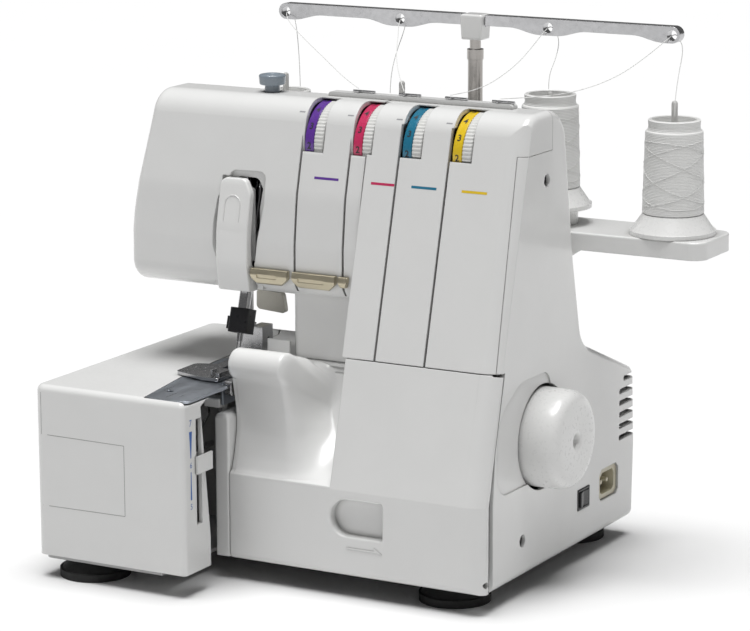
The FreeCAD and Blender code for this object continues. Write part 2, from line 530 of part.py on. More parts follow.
# ---------------------------------------------------------------- cloth plate cover (swings to the left)
LXb, RXb, FYb, BYb, BZ = S["bed_left_x"], S["bed_right_x"], S["bed_front_y"], S["bed_back_y"], S["bed_z"]
bed_out = [(LXb, FYb, 7), (LXb, BYb, 7), (-226.2, BYb, 0), (-226.2, BYb - W, 0), (-195.8, BYb - W, 0), (-190.0, 112, 0), (-186.0, 51.6, 0), (-184.5, 20, 0), (-175, -50, 0), (RXb, -52.5, 0), (RXb, FYb, 3)]
bo = prism(bed_out, "XY", FG + 2.8, BZ)
bo = drop_fillet(bo, 4.2, lambda e: near(e.BoundBox.ZMin, BZ) and near(e.BoundBox.ZMax, BZ) and (e.BoundBox.XMax < RXb + .5 and (e.BoundBox.YMin < FYb + 8 or e.BoundBox.XMax < LXb + 8)))
bi = prism([(LXb + W, FYb + W, 5), (LXb + W, BYb - W, 5), (CX + 20, BYb - W, 0), (CX + 20, 60, 0), (RXb - W, 60, 0), (RXb - W, FYb + W, 0)], "XY", FG - 5, BZ - W - 0.4)
bo = bo.cut(bi)
# slanting rear edge of the right wall
bo = bo.cut(prism([(-62.0, BZ - 6), (-49.5, FG - 5), (40, FG - 5), (40, BZ - W - 0.4), (-56, BZ - W - 0.4)], "YZ", RXb - 12, RXb + 30))
plate_pts = [(-170.5, -78.2, 3), (-179.6, -23.5, 0), (-184.5, 35, 3), (-149.0, 35, 0), (-149.0, -28, 0), (-141.4, -30, 0), (-141.4, -74.0, 4), (-147, -78.2, 0)]
plate_cut = [(-170.8, -78.6, 3.2), (-180.0, -23.5, 0), (-185.0, 35.5, 3), (-100, 35.5, 0), (-100, 36, 0), (-100, -78.6, 0)]
bo = bo.cut([prism(plate_cut, "XY", BZ - S["plate_thick"] - 1.0, BZ + 5), prism([(q[0] if q[0] < -150 else RXb - W - 0.01, q[1]) for q in plate_cut[:3]] + [(RXb - W - 0.01, 35.5), (RXb - W - 0.01, -78.6)], "XY", BZ - 8, BZ)])
# slider slot and hinge barrel
bo = bo.cut(box(RXb - 8, -67.6, 44, RXb + 4, -61.4, 110))
bo = biggest(bo)
PX, PY = -240.0, 115.0
barrel = cyl((PX, PY, 40), (0, 0, 1), 4.6, 20).fuse([cyl((PX, PY, 85), (0, 0, 1), 4.6, 20), box(LXb + 1, PY - 3, 40, PX, PY + 3, 60), box(LXb + 1, PY - 3, 85, PX, PY + 3, 105)])
bo = bo.fuse([barrel]).cut([cyl((PX, PY, 20), (0, 0, 1), S["hinge_bore"], 95)])
bo = biggest(bo)
print("bed", bo.isValid(), round(bo.Volume))
feature("cloth_plate_cover", bo)

# ---------------------------------------------------------------- needle plate
pb = [plate_pts, ]
padded("needle_plate", "XY", [plate_pts,
       [(-163.5, 2.0, 1), (-163.5, 12.5, 1), (-155.5, 12.5, 1), (-155.5, 2.0, 1)],
       [(-172.5, -9, 1), (-172.5, 29, 1), (-166.8, 29, 1), (-166.8, -9, 1)],
       [(-167.6, -59.0, 0.8), (-167.6, -55.6, 0.8), (-163.4, -55.6, 0.8), (-163.4, -59.0, 0.8)]], BZ - S["plate_thick"], "Sizes.plate_thick")

# ---------------------------------------------------------------- base pan, feet, posts
pan_out = [(-246.5, -78.0, 5), (-246.5, 121.5, 5), (CX + 4, 121.5, 0), (CX + 4, 182, 6), (SX - W - 0.8, 182, 0), (SX - W - 0.8, -12.5, 0), (-160, -12.5, 0), (-160, -78.0, 0)]
pan = prism(pan_out, "XY", FG, FG + 2.4)
ribs = [cyl((PX, PY, FG + 2.0), (0, 0, 1), 6.5, 10.0).cut(cyl((PX, PY, 21.0), (0, 0, 1), S["hinge_pin_radius"] + 0.02, 10))]
hl = []
for x0 in (-126, -62, -2):
    hl += [cyl((x0, HY, HZ), (1, 0, 0), 3.4, 4.5), box(x0, HY, HZ - 3.4, x0 + 4.5, -10, HZ + 2.4), box(x0, -12.5, FG, x0 + 4.5, -10, HZ)]
pan = pan.fuse(hl + ribs)
pan = pan.cut([cyl((-130, HY, HZ), (1, 0, 0), S["hinge_bore"] + 0.0, 175)])
pan = pan.cut([rear_s, rc])
pan = biggest(pan)
feature("base_pan", pan)
feet = [(0, 0), (-221.9, -59.0), (0, 160), (-221.9, 100)]
fobjs = []
for (x, y) in feet:
    d = tool("Cylinder", (x, y, 0), (0, 0, 1), Radius="Sizes.foot_disc_radius", Height="Sizes.foot_disc_height")
    n = tool("Cone", (x, y, S["foot_disc_height"]), (0, 0, 1), Radius1="Sizes.foot_disc_radius - 1.5", Radius2="Sizes.foot_neck_radius", Height="Sizes.foot_neck_height")
    fobjs.append(fuse([d, n]))
group("rubber_feet", fobjs)
# fixed white post left of the front cover
post = prism([(-151.0, -12.7, 0), (-140.8, -12.7, 0), (-140.8, -30.7, 1.5), (-151.0, -30.7, 1.5)], "XY", FG + 2.6, 105.0)
post = drop_fillet(post, 3.5, lambda e: near(e.BoundBox.ZMin, 105) and near(e.BoundBox.ZMax, 105) and e.BoundBox.XMax < -142 and e.BoundBox.XLength < 1)
post = post.cut(box(-149, -28.4, FG, -142.8, -10, 101))
tab = box(-161.0, -26.0, 107.0, -149.8, -17.0, 112.5)
tab = drop_fillet(tab, 1.0, lambda e: near(e.BoundBox.ZMin, 112.5))
tab = tab.fuse(box(-152.6, -20.0, 99.0, -149.8, -17.0, 108.0))
feature("front_post", biggest(post.fuse(tab)))

# ---------------------------------------------------------------- inner frame
fr1 = box(-118, 30, FG + 2.6, -92, 76, 262)
fr2 = box(-222, 50, 196, -92, 76, 262)
fr3 = box(-236, 44, FG + 2.6, -92, 72, 88)
fr4 = box(-92, 44, FG + 2.6, 12, 60, 120).cut(box(-86, 40, 22, -70, 66, 112))
frame = fr1.fuse([fr2, fr3, fr4, box(6, 30, FG + 2.6, 12, 76, 240), box(-92, 62, 205, 12, 76, 262), box(-152, 46, 86, -147.2, 52, 113)])
frame = frame.cut([box(-215, 54, 200, -100, 90, 256), box(-230, 48, 22, -122, 68, 84), box(-112, 36, 20, -98, 78, 250)])
frame = frame.cut([cyl((-200, ay, az), (1, 0, 0), S["bore_radius"], 240)])
# needle bar guides hang from the arm beam, presser bar guides too
T = math.tan(math.radians(17.0))
ndir = V(0, math.sin(math.radians(17.0)), math.cos(math.radians(17.0)))
NX, NY0 = S["needle_x"], 8.0   # needle line meets the bed plane at NY0


def needle_y(z):
    return NY0 + (z - BZ) * T


g1 = box(-170, 24, 196, -148, 52, 208)
g2 = box(-170, 36, 246, -148, 62, 258)
frame = frame.fuse([g1, g2])
nb_base = V(NX, needle_y(150.0), 150.0)
nb_hole = Part.makeCylinder(S["needle_bar_radius"] + 0.05, 150, nb_base, ndir)
pr_hole = Part.makeCylinder(S["presser_bore"], 220, V(S["presser_x"], S["presser_y"], 100))
frame = frame.cut([nb_hole])
frame = frame.cut([box(-175, 30, 209, -145, 49.8, 245)])
frame = frame.cut([pr_hole, cyl((KX, KY, 200), (0, 0, 1), 6.2, 100), box(-173.5, 49, 219, -159.5, 55, 240)])
# room for the dials, and a plate beside each one that holds its shaft
frame = frame.cut([cyl((-123.5, DYY, DZZ), (1, 0, 0), DR + 2.0, 128)])
lugs = []
for x0 in dial_x:
    lugs.append(box(x0 + DW + 0.8, DYY - 4, 256, x0 + DW + 3.6, 76, 270).fuse([box(x0 + DW + 0.8, 66, 225, x0 + DW + 3.6, 76, 262)]))
lugs.append(box(-174, 72.2, 178, -162, 80, 198))
frame = frame.fuse(lugs)
frame = frame.cut([cyl((x0 - 8, DYY, DZZ), (1, 0, 0), 2.52, DW + 20) for x0 in dial_x] + [cyl((-168.0, 60, 186.0), (0, 1, 0), S["lift_pin_radius"], 25)])
frame = biggest(frame)
print("frame", frame.isValid(), round(frame.Volume))
feature("main_frame", frame)

# ---------------------------------------------------------------- top strip, clips, thread guides
padded("top_guide_strip", "XZ", [[(-116.5, TZ - 0.3 + 0.35, 0), (-116.5, 295.4, 2.0), (10.5, 295.4, 2.0), (10.5, TZ + 0.05, 0)]], 52.6, 7.2)
clips = []
for i in range(4):
    cx = -93.5 + i * 32.0
    a = tool("Cylinder", (cx - 7, 56.0, 296.4), (1, 0, 0), Radius=0.8, Height=15.0)
    b = boxt(cx - 6.0, 55.4, 295.45, cx - 4.8, 56.6, 296.4)
    b2 = boxt(cx + 5.8, 55.4, 295.45, cx + 7.0, 56.6, 296.4)
    b3 = boxt(cx - 3.0, 53.0, 296.0, cx - 1.8, 56.0, 296.8)
    clips.append(fuse([a, b, b2, b3]))
group("thread_clips", clips)
gd = []
for (x0, x1, zb) in ((-147.4, -121.3, 179.6), (-117.8, -87.5, 179.8), (-85.4, -79.1, 182.4)):
    sec = prism([(8.2, 189.0, 0.8), (7.4, 185, 3), (8.4, zb, 1.5), (12.0, zb - 0.6, 0), (11.2, 186.3, 0), (11.2, 189.0, 0)], "YZ", x0, x1)
    w_ = x1 - x0
    e_ = 6 if w_ > 10 else 2
    sec = sec.common(prism([(x0, 190, 0), (x0, zb + 4, 4), (x0 + e_, zb - 1.2, 3), (x1 - e_, zb - 1.2, 3), (x1, zb + 4, 3), (x1, 190, 0)], "XZ", 0, 20))
    if w_ > 10:
        sec = sec.cut([prism([(x0 + 4.5, 185.6, 0.6), (x0 + 4.5, 183.2, 0.6), (x1 - 7.5, 183.2, 0.6), (x1 - 7.5, 185.6, 0.6)], "XZ", 6.0, 8.2)])
    gd.append(biggest(sec))
feature("arm_thread_guides", Part.makeCompound(gd))

# ---------------------------------------------------------------- take-up lever: curved plate in the arm's front, pivots at its foot
lev = prism([(8.6, 173.6, 3), (5.6, 190, 30), (6.6, 212, 60), (12.6, 240.5, 30), (13.6, 243.2, 1.2), (18.6, 243.2, 1.2), (15.0, 226, 40), (12.0, 205, 40), (12.6, 190, 10), (23.5, 178.6, 0), (23.5, 172.8, 0), (12.0, 172.8, 2)], "YZ", LX0 + 1.2, LX1 - 2.0)
lev = lev.common(prism([(LX0 + 1.2, 165, 0), (LX0 + 1.2, 243.3, 5), (LX1 - 7.0, 243.3, 5), (LX1 - 2.0, 234.5, 8), (LX1 - 2.0, 165, 0)], "XZ", -20, 40))
for rr in (1.6, 1.0):
    l2_ = drop_fillet(lev, rr, lambda e: e.BoundBox.YMax < 19.5 and e.BoundBox.ZMax > 200 and e.BoundBox.YMin < 13.8 and e.BoundBox.ZLength > 3 and (e.BoundBox.XLength < 0.01))
    if l2_ is not lev:
        lev = l2_
        print("lever fillet", rr)
        break
boss = cyl((LX0 + 1.2, LVY, LVZ), (1, 0, 0), 3.6, LX1 - 2.0 - LX0 - 1.2)
lev = lev.fuse([boss]).cut([cyl((LX0 - 5, LVY, LVZ), (1, 0, 0), S["small_pin_radius"] + 0.05, 60), box(-165.4, 15.6, 165, -153.6, 40, 184.5), box(-165.4, 15.6, 160, -153.6, 40, 176)])
lev = biggest(lev)
feature("takeup_lever", lev)

# ---------------------------------------------------------------- needle bar group
zb0 = 152.0
bar = Part.makeCylinder(S["needle_bar_radius"], 104, V(NX, needle_y(zb0), zb0), ndir)
feature("needle_bar", bar)
rotx = FreeCAD.Rotation(V(1, 0, 0), -17.0)


def tilted(shape, z):
    """shape drawn round its own origin, moved onto the needle bar's axis at height z."""
    s = shape.copy()
    s.Placement = FreeCAD.Placement(V(NX, needle_y(z), z), rotx)
    return s


cl = Part.makeBox(13.4, 11.0, 15.5, V(-6.7, -5.5, -12.3)).fuse([Part.makeBox(3.5, 8.0, 8.0, V(-8.4, -4.0, -10.5)), Part.makeBox(15.0, 9.0, 0.9, V(-8.2, -4.8, -13.4))])
cl = drop_fillet(cl, 1.4, lambda e: e.BoundBox.ZLength > 12 and e.BoundBox.XLength < .1 and e.BoundBox.YLength < .1)
clamp = tilted(cl, 157.0)
clamp = clamp.cut([bar])
ndl = []
for dx in (-1.2, 1.2):
    ndl.append(Part.makeCylinder(0.9, 8.0, V(dx, 0.0, -17.5)).fuse([Part.makeCylinder(S["needle_radius"], 15.0, V(dx, 0, -32.4)), Part.makeCone(0.06, S["needle_radius"], 3.0, V(dx, 0, -35.4))]))
needles = [tilted(q, 157.0) for q in ndl]
clamp = clamp.cut([tilted(Part.makeCylinder(0.9, 9.0, V(dx, 0, -17.5)), 157.0) for dx in (-1.2, 1.2)])
feature("needle_clamp", biggest(clamp))
feature("needles", Part.makeCompound(needles))

# ---------------------------------------------------------------- presser group
pxx, pyy = S["presser_x"], S["presser_y"]
pb1 = tool("Cylinder", (pxx, pyy, 146.0), (0, 0, 1), Radius="Sizes.presser_radius", Height=134.0)
pb2 = boxt(-165.6, 34.5, 262.6, -150.0, 58.5, 266.4)
pb3 = boxt(-171.6, 34.6, 224.0, -163.6, 60.0, 230.0)
assemble("presser_bar", [pb1, pb2, pb3])
sole = prism([(-185.5, -19.0, 3), (-186.0, 4.0, 4), (-173, 9, 0), (-173, 44, 3), (-151.0, 44, 3), (-151.0, -26.0, 2), (-163.5, -26.0, 1.5)], "XY", 123.3, 125.3)
sole = sole.cut([prism([(-164.5, 0.5, 1), (-164.5, 14.5, 1), (-154.0, 14.5, 1), (-154.0, 0.5, 1)], "XY", 120, 130)])
ank = box(-171.0, 31.0, 125.2, -153.0, 43.5, 146.5).cut([box(-175, 33.0, 132, -161.2, 60, 150).cut(cyl((pxx, pyy, 130), (0, 0, 1), 5.2, 30))])
ank = drop_fillet(ank, 1.5, lambda e: e.BoundBox.ZLength > 12 and e.BoundBox.XLength < .1 and e.BoundBox.YLength < .1)
side = box(-156.5, 14, 125.2, -151.5, 34, 131)
ank = ank.fuse([side, box(-153.6, -24.0, 125.2, -151.2, -12, 128.2), box(-158.6, -22.0, 125.2, -157.2, -16, 129.4)])
foot_s = sole.fuse([ank]).cut([cyl((pxx, pyy, 145.9), (0, 0, 1), 3.5, 10), cyl((-175, 38, 137.5), (1, 0, 0), 1.6, 30)])
foot_s = foot_s.cut(box(-163.8, 15.0, 120, -155.4, 30.9, 150))
feature("presser_foot", biggest(foot_s))
t1 = tool("Cylinder", (KX, KY, 266.8), (0, 0, 1), Radius=4.8, Height=13.0)
t2 = tool("Cylinder", (KX, KY, 266.0), (0, 0, 1), Radius=3.4, Height=16.0)
assemble("presser_spring", t1, [t2])
# pressure knob: cap, stem and screw
turned("pressure_knob", [(0, 280.2, 0), (3.6, 280.2, 0.4), (3.6, 290.0, 0), (5.0, 290.0, 0.4), (4.6, 297.6, 0), (8.0, 297.0, 1.0), (8.6, 303.4, 1.4), (5.2, 304.0, 0.8), (3.2, 302.8, 0), (0, 302.6, 0)], ((KX, KY, 0), (0, 0, 1)))
# lifter lever behind the bar: cam head on a shaft along Y, paddle hanging behind the arm
lz, lx = 186.0, -168.0
l1 = tool("Cylinder", (lx, 62.4, lz), (0, 1, 0), Radius=6.0, Height=9.0)
l2 = boxt(lx - 3.0, 63.4, 163.5, lx + 6.0, 67.4, lz)
l3 = padded("lifter_paddle", "XZ", [[(-176.6, 162.8, 2), (-157.6, 162.0, 3), (-155.4, 148.8, 2), (-176.9, 150.3, 3)]], 63.4, 4.0, node=False)
l5 = tool("Cylinder", (lx, 50.0, lz), (0, 1, 0), Radius="Sizes.hinge_bore", Height=30.0)
assemble("lifter_lever", [l1, l2, l3], [l5])

# ---------------------------------------------------------------- tension dials and discs
for i, x0 in enumerate(dial_x, 1):
    turned("tension_dial_%d" % i, [(2.55, 0, 0), (DR - 0.4, 0, 0.5), (DR - 0.4, 6.2, 0), (DR, 6.6, 0.2), (DR, DW, 1.0), (2.55, DW, 0)], ((x0, DYY, DZZ), (1, 0, 0)))
discs = []
for x0 in dial_x:
    a = tool("Cylinder", (x0 - 5.2, DYY, DZZ), (1, 0, 0), Radius=2.5, Height=DW + 7.0)
    b = tool("Cylinder", (x0 - 2.6, DYY, DZZ), (1, 0, 0), Radius=11.0, Height=1.0)
    c = tool("Cylinder", (x0 - 5.0, DYY, DZZ), (1, 0, 0), Radius=11.0, Height=1.0)
    discs.append(fuse([a, b, c]))
group("tension_discs", discs)

# ---------------------------------------------------------------- drive train
WR, WX = S["wheel_radius"], S["wheel_face_x"]
turned("handwheel", [(5.03, 15.0, 0), (20.5, 15.0, 0), (20.5, 16.2, 0), (18.0, 16.9, 0), (18.0, 20.6, 0), (20.5, 21.3, 0), (20.5, 22.4, 0), (14, 22.4, 0), (14, 33.0, 0), (WR - 3.5, 33.0, 0), (WR, 36.5, 0), (WR, WX - 0.2, 4.5), (9.5, WX, 0.8), (8.0, WX - 3.0, 0.5), (0, WX - 3.0, 0), (0, 51.1, 0), (5.03, 51.1, 0)], ((0, ay, az), (1, 0, 0)))
ms = tool("Cylinder", (-128.0, ay, az), (1, 0, 0), Radius="Sizes.shaft_radius", Height=179.0)
assemble("main_shaft", ms)
MY, MZ, MR = 140.0, 56.0, 7.0
turned("motor_rotor", [(0, -60.0, 0), (3.0, -60.0, 0), (3.0, 15.4, 0), (9.0, 15.4, 0), (9.0, 16.4, 0), (MR, 16.9, 0), (MR, 20.6, 0), (9.0, 21.1, 0), (9.0, 22.2, 0), (0, 22.2, 0)], ((0, MY, MZ), (1, 0, 0)))
mh = tool("Cylinder", (-62.0, MY, MZ), (1, 0, 0), Radius=27.0, Height=70.0)
mh2 = boxt(-50.0, MY - 14, 14.6, -4.0, MY + 14, 40)
mhc = tool("Cylinder", (-63.0, MY, MZ), (1, 0, 0), Radius=3.05, Height=90.0)
mhd = tool("Cylinder", (-58.0, MY, MZ), (1, 0, 0), Radius=22.0, Height=62.0)
assemble("motor_housing", [mh, mh2], [mhc])
# belt: flat loop round both pulleys
dyy, dzz = MY - ay, MZ - az
dist = math.hypot(dyy, dzz)
R1, R2 = 18.35, MR + 0.35
phi = math.acos((R1 - R2) / dist)
base_a = math.atan2(dzz, dyy)


def belt_wire(t):
    r1, r2 = R1 + t, R2 + t
    ph = math.acos((r1 - r2) / dist)
    p = lambda c, r, a: V(0, c[0] + r * math.cos(a), c[1] + r * math.sin(a))
    c1, c2 = (ay, az), (MY, MZ)
    a1, a2 = base_a + ph, base_a - ph
    e1 = Part.LineSegment(p(c1, r1, a1), p(c2, r2, a1)).toShape()
    e2 = Part.Arc(p(c2, r2, a1), p(c2, r2, base_a), p(c2, r2, a2)).toShape()
    e3 = Part.LineSegment(p(c2, r2, a2), p(c1, r1, a2)).toShape()
    e4 = Part.Arc(p(c1, r1, a2), p(c1, r1, base_a + math.pi), p(c1, r1, a1)).toShape()
    return Part.Wire([e1, e2, e3, e4])


belt = Part.Face(belt_wire(1.8)).extrude(V(3.1, 0, 0)).cut(Part.Face(belt_wire(0.0)).extrude(V(3.1, 0, 0)))
belt.translate(V(17.2, 0, 0))
feature("drive_belt", belt)

# ---------------------------------------------------------------- loopers, feed dog, knives
def arm_plate(pts, y0, y1, hole, r=2.05):
    s = prism(pts, "XZ", y0, y1)
    return s.cut([cyl((hole[0], y0 - 5, hole[1]), (0, 1, 0), r, 30)])


lo = arm_plate([(-196, 58, 4), (-196, 70, 3), (-184, 90, 3), (-186, 104, 2), (-160, 112.0, 0.6), (-160, 114.5, 0.6), (-191, 110, 4), (-190, 92, 3), (-204, 70, 3), (-204, 58, 4)], 15.0, 18.0, (-200, 63))
feature("lower_looper", biggest(lo))
up = arm_plate([(-150, 62, 4), (-150, 78, 3), (-158.5, 96, 2), (-170.0, 109, 0.6), (-168.5, 111.5, 0.6), (-152.5, 98, 3), (-142.5, 78, 3), (-142.5, 62, 4)], -8.0, -5.0, (-146.3, 66))
feature("upper_looper", biggest(up))
lp = [tool("Cylinder", (-200.0, 14.0, 63.0), (0, 1, 0), Radius="Sizes.hinge_pin_radius", Height=30.0),
      tool("Cylinder", (-146.3, -9.0, 66.0), (0, 1, 0), Radius="Sizes.hinge_pin_radius", Height=53.0),
      tool("Cylinder", (-146.5, 39.5, 99.8), (1, 0, 0), Radius="Sizes.hinge_pin_radius", Height=28.5),
      tool("Cylinder", (LX0 - 3.8, LVY, LVZ), (1, 0, 0), Radius="Sizes.small_pin_radius - 0.01", Height=LX1 - LX0 + 7.6),
      tool("Cylinder", (-168.0, 60.0, 186.0), (0, 1, 0), Radius="Sizes.lift_pin_radius - 0.01", Height=19.0),
      tool("Cylinder", (PX, PY, 21.2), (0, 0, 1), Radius="Sizes.hinge_pin_radius", Height=90.0)]
group("pivot_pins", lp)
fd = prism([(-6.0, 117.5), (-6.0, 121.4)] + [q for k in range(12) for q in ((-6.0 + k * 2.6, 122.3), (-6.0 + k * 2.6 + 2.5, 121.2))] + [(25.5, 117.5)], "YZ", -171.5, -167.8)
fd = fd.fuse([box(-171.5, 20, 111.0, -157.0, 25, 117.6)])
feature("feed_dog", biggest(fd))
lk = prism([(-26, 109), (-26, 122.2), (-9, 122.2), (-9, 113), (46.0, 113), (46.0, 109)], "YZ", -148.7, -147.3)
feature("lower_knife", biggest(lk))
hold = prism([(-27, 116.0, 2), (-27, 124.4, 2), (-10, 124.6, 2), (-6, 118, 3), (6, 112, 8), (34, 108, 0), (47, 104, 8), (44, 92, 8), (30, 98, 6), (4, 102, 6), (-12, 112, 3)], "YZ", -145.2, -141.1)
hold = hold.cut([cyl((-160, 39.5, 99.8), (1, 0, 0), 2.05, 40)])
blade = box(-147.0, -26, 121.0, -145.1, -10, 124.4)
feature("upper_knife", biggest(hold.fuse([blade])))

# ---------------------------------------------------------------- slider, switch, inlet, screws
sl1 = boxt(RXb + 0.3, -69.0, 76.0, RXb + 1.7, -51.5, 87.0)
sl2 = boxt(RXb - 6.0, -67.2, 78.0, RXb + 0.4, -61.8, 85.0)
sl3 = boxt(RXb - 8.0, -70.0, 76.0, RXb - 3.2, -58.0, 87.0)
assemble("width_slider", [sl1, sl2, sl3])
RKX, RKY = SX - 4.2, 108.0
sh_s = box(SX - 14.0, 99.8, 34.8, SX + 0.5, 116.2, 47.9).cut([box(SX - 11.0, 101.0, 36.1, SX + 5, 115.0, 46.6)])
sh_s = sh_s.fuse([cyl((RKX, RKY, 35.5), (0, 0, 1), 1.0, 11.6)])
feature("switch_housing", sh_s)
rk = prism([(SX - 3.4, 101.8, 0), (SX + 1.9, 101.7, 0.6), (SX + 0.2, 108.0, 4), (SX + 0.9, 114.3, 0.6), (SX - 3.4, 114.2, 0), (RKX - 2.6, 108.0, 2)], "XY", 36.6, 36.6 + S["rocker_height"])
rk = rk.cut([cyl((RKX, RKY, 30), (0, 0, 1), 1.05, 30)])
feature("switch_rocker", rk)
inl = prism([(131.4, 36.2, 0), (134.2, 33.4, 0), (156.3, 33.4, 0), (159.1, 36.2, 0), (159.1, 49.9, 0), (155.8, 53.1, 0), (134.7, 53.1, 0), (131.4, 49.9, 0)], "YZ", SX - 11.4, SX - 1.4)
inl_c = prism([(135.2, 38.4, 1.5), (138, 36.4, 1.5), (153, 36.4, 1.5), (155.6, 38.4, 1.5), (155.6, 47.6, 1.5), (153, 50.2, 1.5), (138, 50.2, 1.5), (135.2, 47.6, 1.5)], "YZ", SX - 9.6, SX + 3)
inl = inl.cut([inl_c])
pins = [cyl((SX - 9.8, yy, 43.3), (1, 0, 0), 1.5, 6.5) for yy in (141.0, 149.8)]
feature("power_inlet", biggest(inl.fuse(pins)))
scr = []
for (hy, hz) in ((52.8, 251.5), (22.9, 35.0)):
    a = tool("Cylinder", (SX - 5.5, hy, hz), (1, 0, 0), Radius=3.5, Height=2.6)
    b = tool("Cylinder", (SX - 16.0, hy, hz), (1, 0, 0), Radius=1.6, Height=11.0)
    c = boxt(SX - 3.9, hy - 2.6, hz - 0.4, SX - 2.0, hy + 2.6, hz + 0.4)
    f = fuse([a, b]); k = doc.addObject("Part::Cut", "screw"); k.Base, k.Tool = f, c
    scr.append(k)
group("cover_screws", scr)

# ---------------------------------------------------------------- spool tray, pins, cones
ty, tz, TT, TD = S["tray_y"], S["tray_z"], S["tray_thick"], S["tray_depth"]
tr = prism([(S["tray_left_x"], ty - TD / 2, 9), (S["tray_left_x"], ty + TD / 2, 9), (S["tray_right_x"], ty + TD / 2, 9), (S["tray_right_x"], ty - TD / 2, 9)], "XY", tz - TT, tz)
tr = drop_fillet(tr, 1.2, lambda e: near(e.BoundBox.ZMin, tz) and near(e.BoundBox.ZMax, tz))
tri = prism([(S["tray_left_x"] + 2.4, ty - TD / 2 + 2.4, 7), (S["tray_left_x"] + 2.4, ty + TD / 2 - 2.4, 7), (S["tray_right_x"] - 2.4, ty + TD / 2 - 2.4, 7), (S["tray_right_x"] - 2.4, ty - TD / 2 + 2.4, 7)], "XY", tz - TT - 1, tz - 2.6)
tr = tr.cut([tri])
skirt = prism([(-134, tz - 2.8, 0), (-134, tz - TT - 0.2, 0), (-112, 186, 4), (12, 186, 4), (34, tz - TT - 0.2, 0), (34, tz - 2.8, 0)], "XZ", ty - TD / 2, ty - TD / 2 + 2.6)
arm_b = box(-70.5, 96.5, 196.5, -32.5, ty + TD / 2 - 2.5, tz - 2.7)
tr = tr.fuse([skirt, arm_b])
pin_xs = (-189.5, -103.8, 1.0, 85.0)
pxs = S["pole_x"]
tr = tr.cut([cyl((x, ty, tz - 30), (0, 0, 1), S["pin_radius"] + 0.02, 40) for x in pin_xs] + [cyl((pxs, ty, 150), (0, 0, 1), S["pole_low_radius"] + 0.02, 100)])
feature("spool_tray", biggest(tr))
pins_o = []
for x in pin_xs:
    a = tool("Cylinder", (x, ty, tz - TT + 0.5), (0, 0, 1), Radius="Sizes.pin_radius", Height=S["pin_top_z"] - tz + TT - 0.5 - S["pin_radius"])
    b = tool("Sphere", (x, ty, S["pin_top_z"] - S["pin_radius"]), (0, 0, 1), Radius="Sizes.pin_radius")
    pins_o.append(fuse([a, b]))
group("spool_pins", pins_o)
RAISE = (0.0, 0.0, 10.0, 0.0)
hold_o = []
for x, up_ in zip(pin_xs, RAISE):
    z0 = tz + 0.1 + up_
    base = tool("Cylinder", (x, ty, z0), (0, 0, 1), Radius=26.5, Height=2.6)
    con = tool("Cone", (x, ty, z0 + 2.6), (0, 0, 1), Radius1=25.8, Radius2=18.9, Height=10.0)
    core = tool("Cylinder", (x, ty, z0 + 12.5), (0, 0, 1), Radius=12.0, Height=30.0)
    ps = [base, con, core]
    if up_:
        ps.append(tool("Cylinder", (x, ty, tz + 0.1), (0, 0, 1), Radius=18.0, Height=up_ + 0.5))
    f = fuse(ps)
    hole = tool("Cylinder", (x, ty, tz - 5), (0, 0, 1), Radius="Sizes.cone_bore", Height=80.0)
    k = doc.addObject("Part::Cut", "holder"); k.Base, k.Tool = f, hole
    hold_o.append(k)
group("cone_holders", hold_o)
for i, (x, up_) in enumerate(zip(pin_xs, RAISE), 1):
    z0 = tz + 0.1 + up_ + 12.9
    turned("thread_cone_%d" % i, [(12.3, z0, 0), (19.0, z0, 1.0), (17.7, z0 + 50.5, 0.8), (16.4, z0 + 51.5, 0.3), (15.8, z0 + 53, 0), (16.2, z0 + 57.6, 0.8), (13.6, z0 + 57.9, 0.5), (13.0, z0 + 48.0, 0), (3.4, z0 + 48.0, 0), (3.4, z0 + 45.0, 0), (12.3, z0 + 45.0, 0)], ((x, ty, 0), (0, 0, 1)))

# ---------------------------------------------------------------- guide pole and bar
bz = S["bar_z"]
pl1 = tool("Cylinder", (pxs, ty, 190.0), (0, 0, 1), Radius="Sizes.pole_low_radius", Height=122.0)
pl2 = tool("Cylinder", (pxs, ty, 311.0), (0, 0, 1), Radius=5.2, Height=6.5)
plc = tool("Cylinder", (pxs, ty, 191.5), (0, 0, 1), Radius="Sizes.pole_bore", Height=140.0)
assemble("guide_pole_lower", [pl1, pl2], [plc])
assemble("guide_pole_upper", tool("Cylinder", (pxs, ty, 192.0), (0, 0, 1), Radius="Sizes.pole_up_radius", Height=133.5))
hole_x = (-187.0, -103.2, 0.5, 84.0)
# bar: shallow channel whose lower lip swells round each eye
top = bz + 5.0
half = 3.4
prof = []
xs = [-193.0 + 283.0 * k / 56 for k in range(57)]


def lip(x):
    d = min(abs(x - h) for h in hole_x)
    return bz - 4.9 if d < 6 else bz - 4.9 + 3.6 * (1 - math.cos(min(1.0, (d - 6) / 20.0) * math.pi)) / 2


outline_top = [V(-187.0, 0, bz + 5.4), V(84.0, 0, bz + 5.4)]
body_pts = []
low = [V(h, 0, 0) for h in hole_x]
sp_pts = []
x = 84.0
while x > -187.0:
    sp_pts.append(V(x, 0, lip(x)))
    x -= 6.0
sp_pts.append(V(-187.0, 0, lip(-187.0)))
crv = Part.BSplineCurve(); crv.interpolate(sp_pts)
e_top = Part.LineSegment(V(-187.0, 0, bz + 5.4), V(84.0, 0, bz + 5.4)).toShape()
rr = (bz + 5.4 - lip(84.0)) / 2
e_r = Part.Arc(V(84.0, 0, bz + 5.4), V(84.0 + rr, 0, bz + 5.4 - rr), V(84.0, 0, lip(84.0))).toShape()
e_l = Part.Arc(V(-187.0, 0, lip(-187.0)), V(-187.0 - rr, 0, bz + 5.4 - rr), V(-187.0, 0, bz + 5.4)).toShape()
barf = Part.Face(Part.Wire([e_top, e_r, crv.toShape(), e_l]))
barf.translate(V(0, ty - half, 0))
barsol = barf.extrude(V(0, 2 * half, 0))
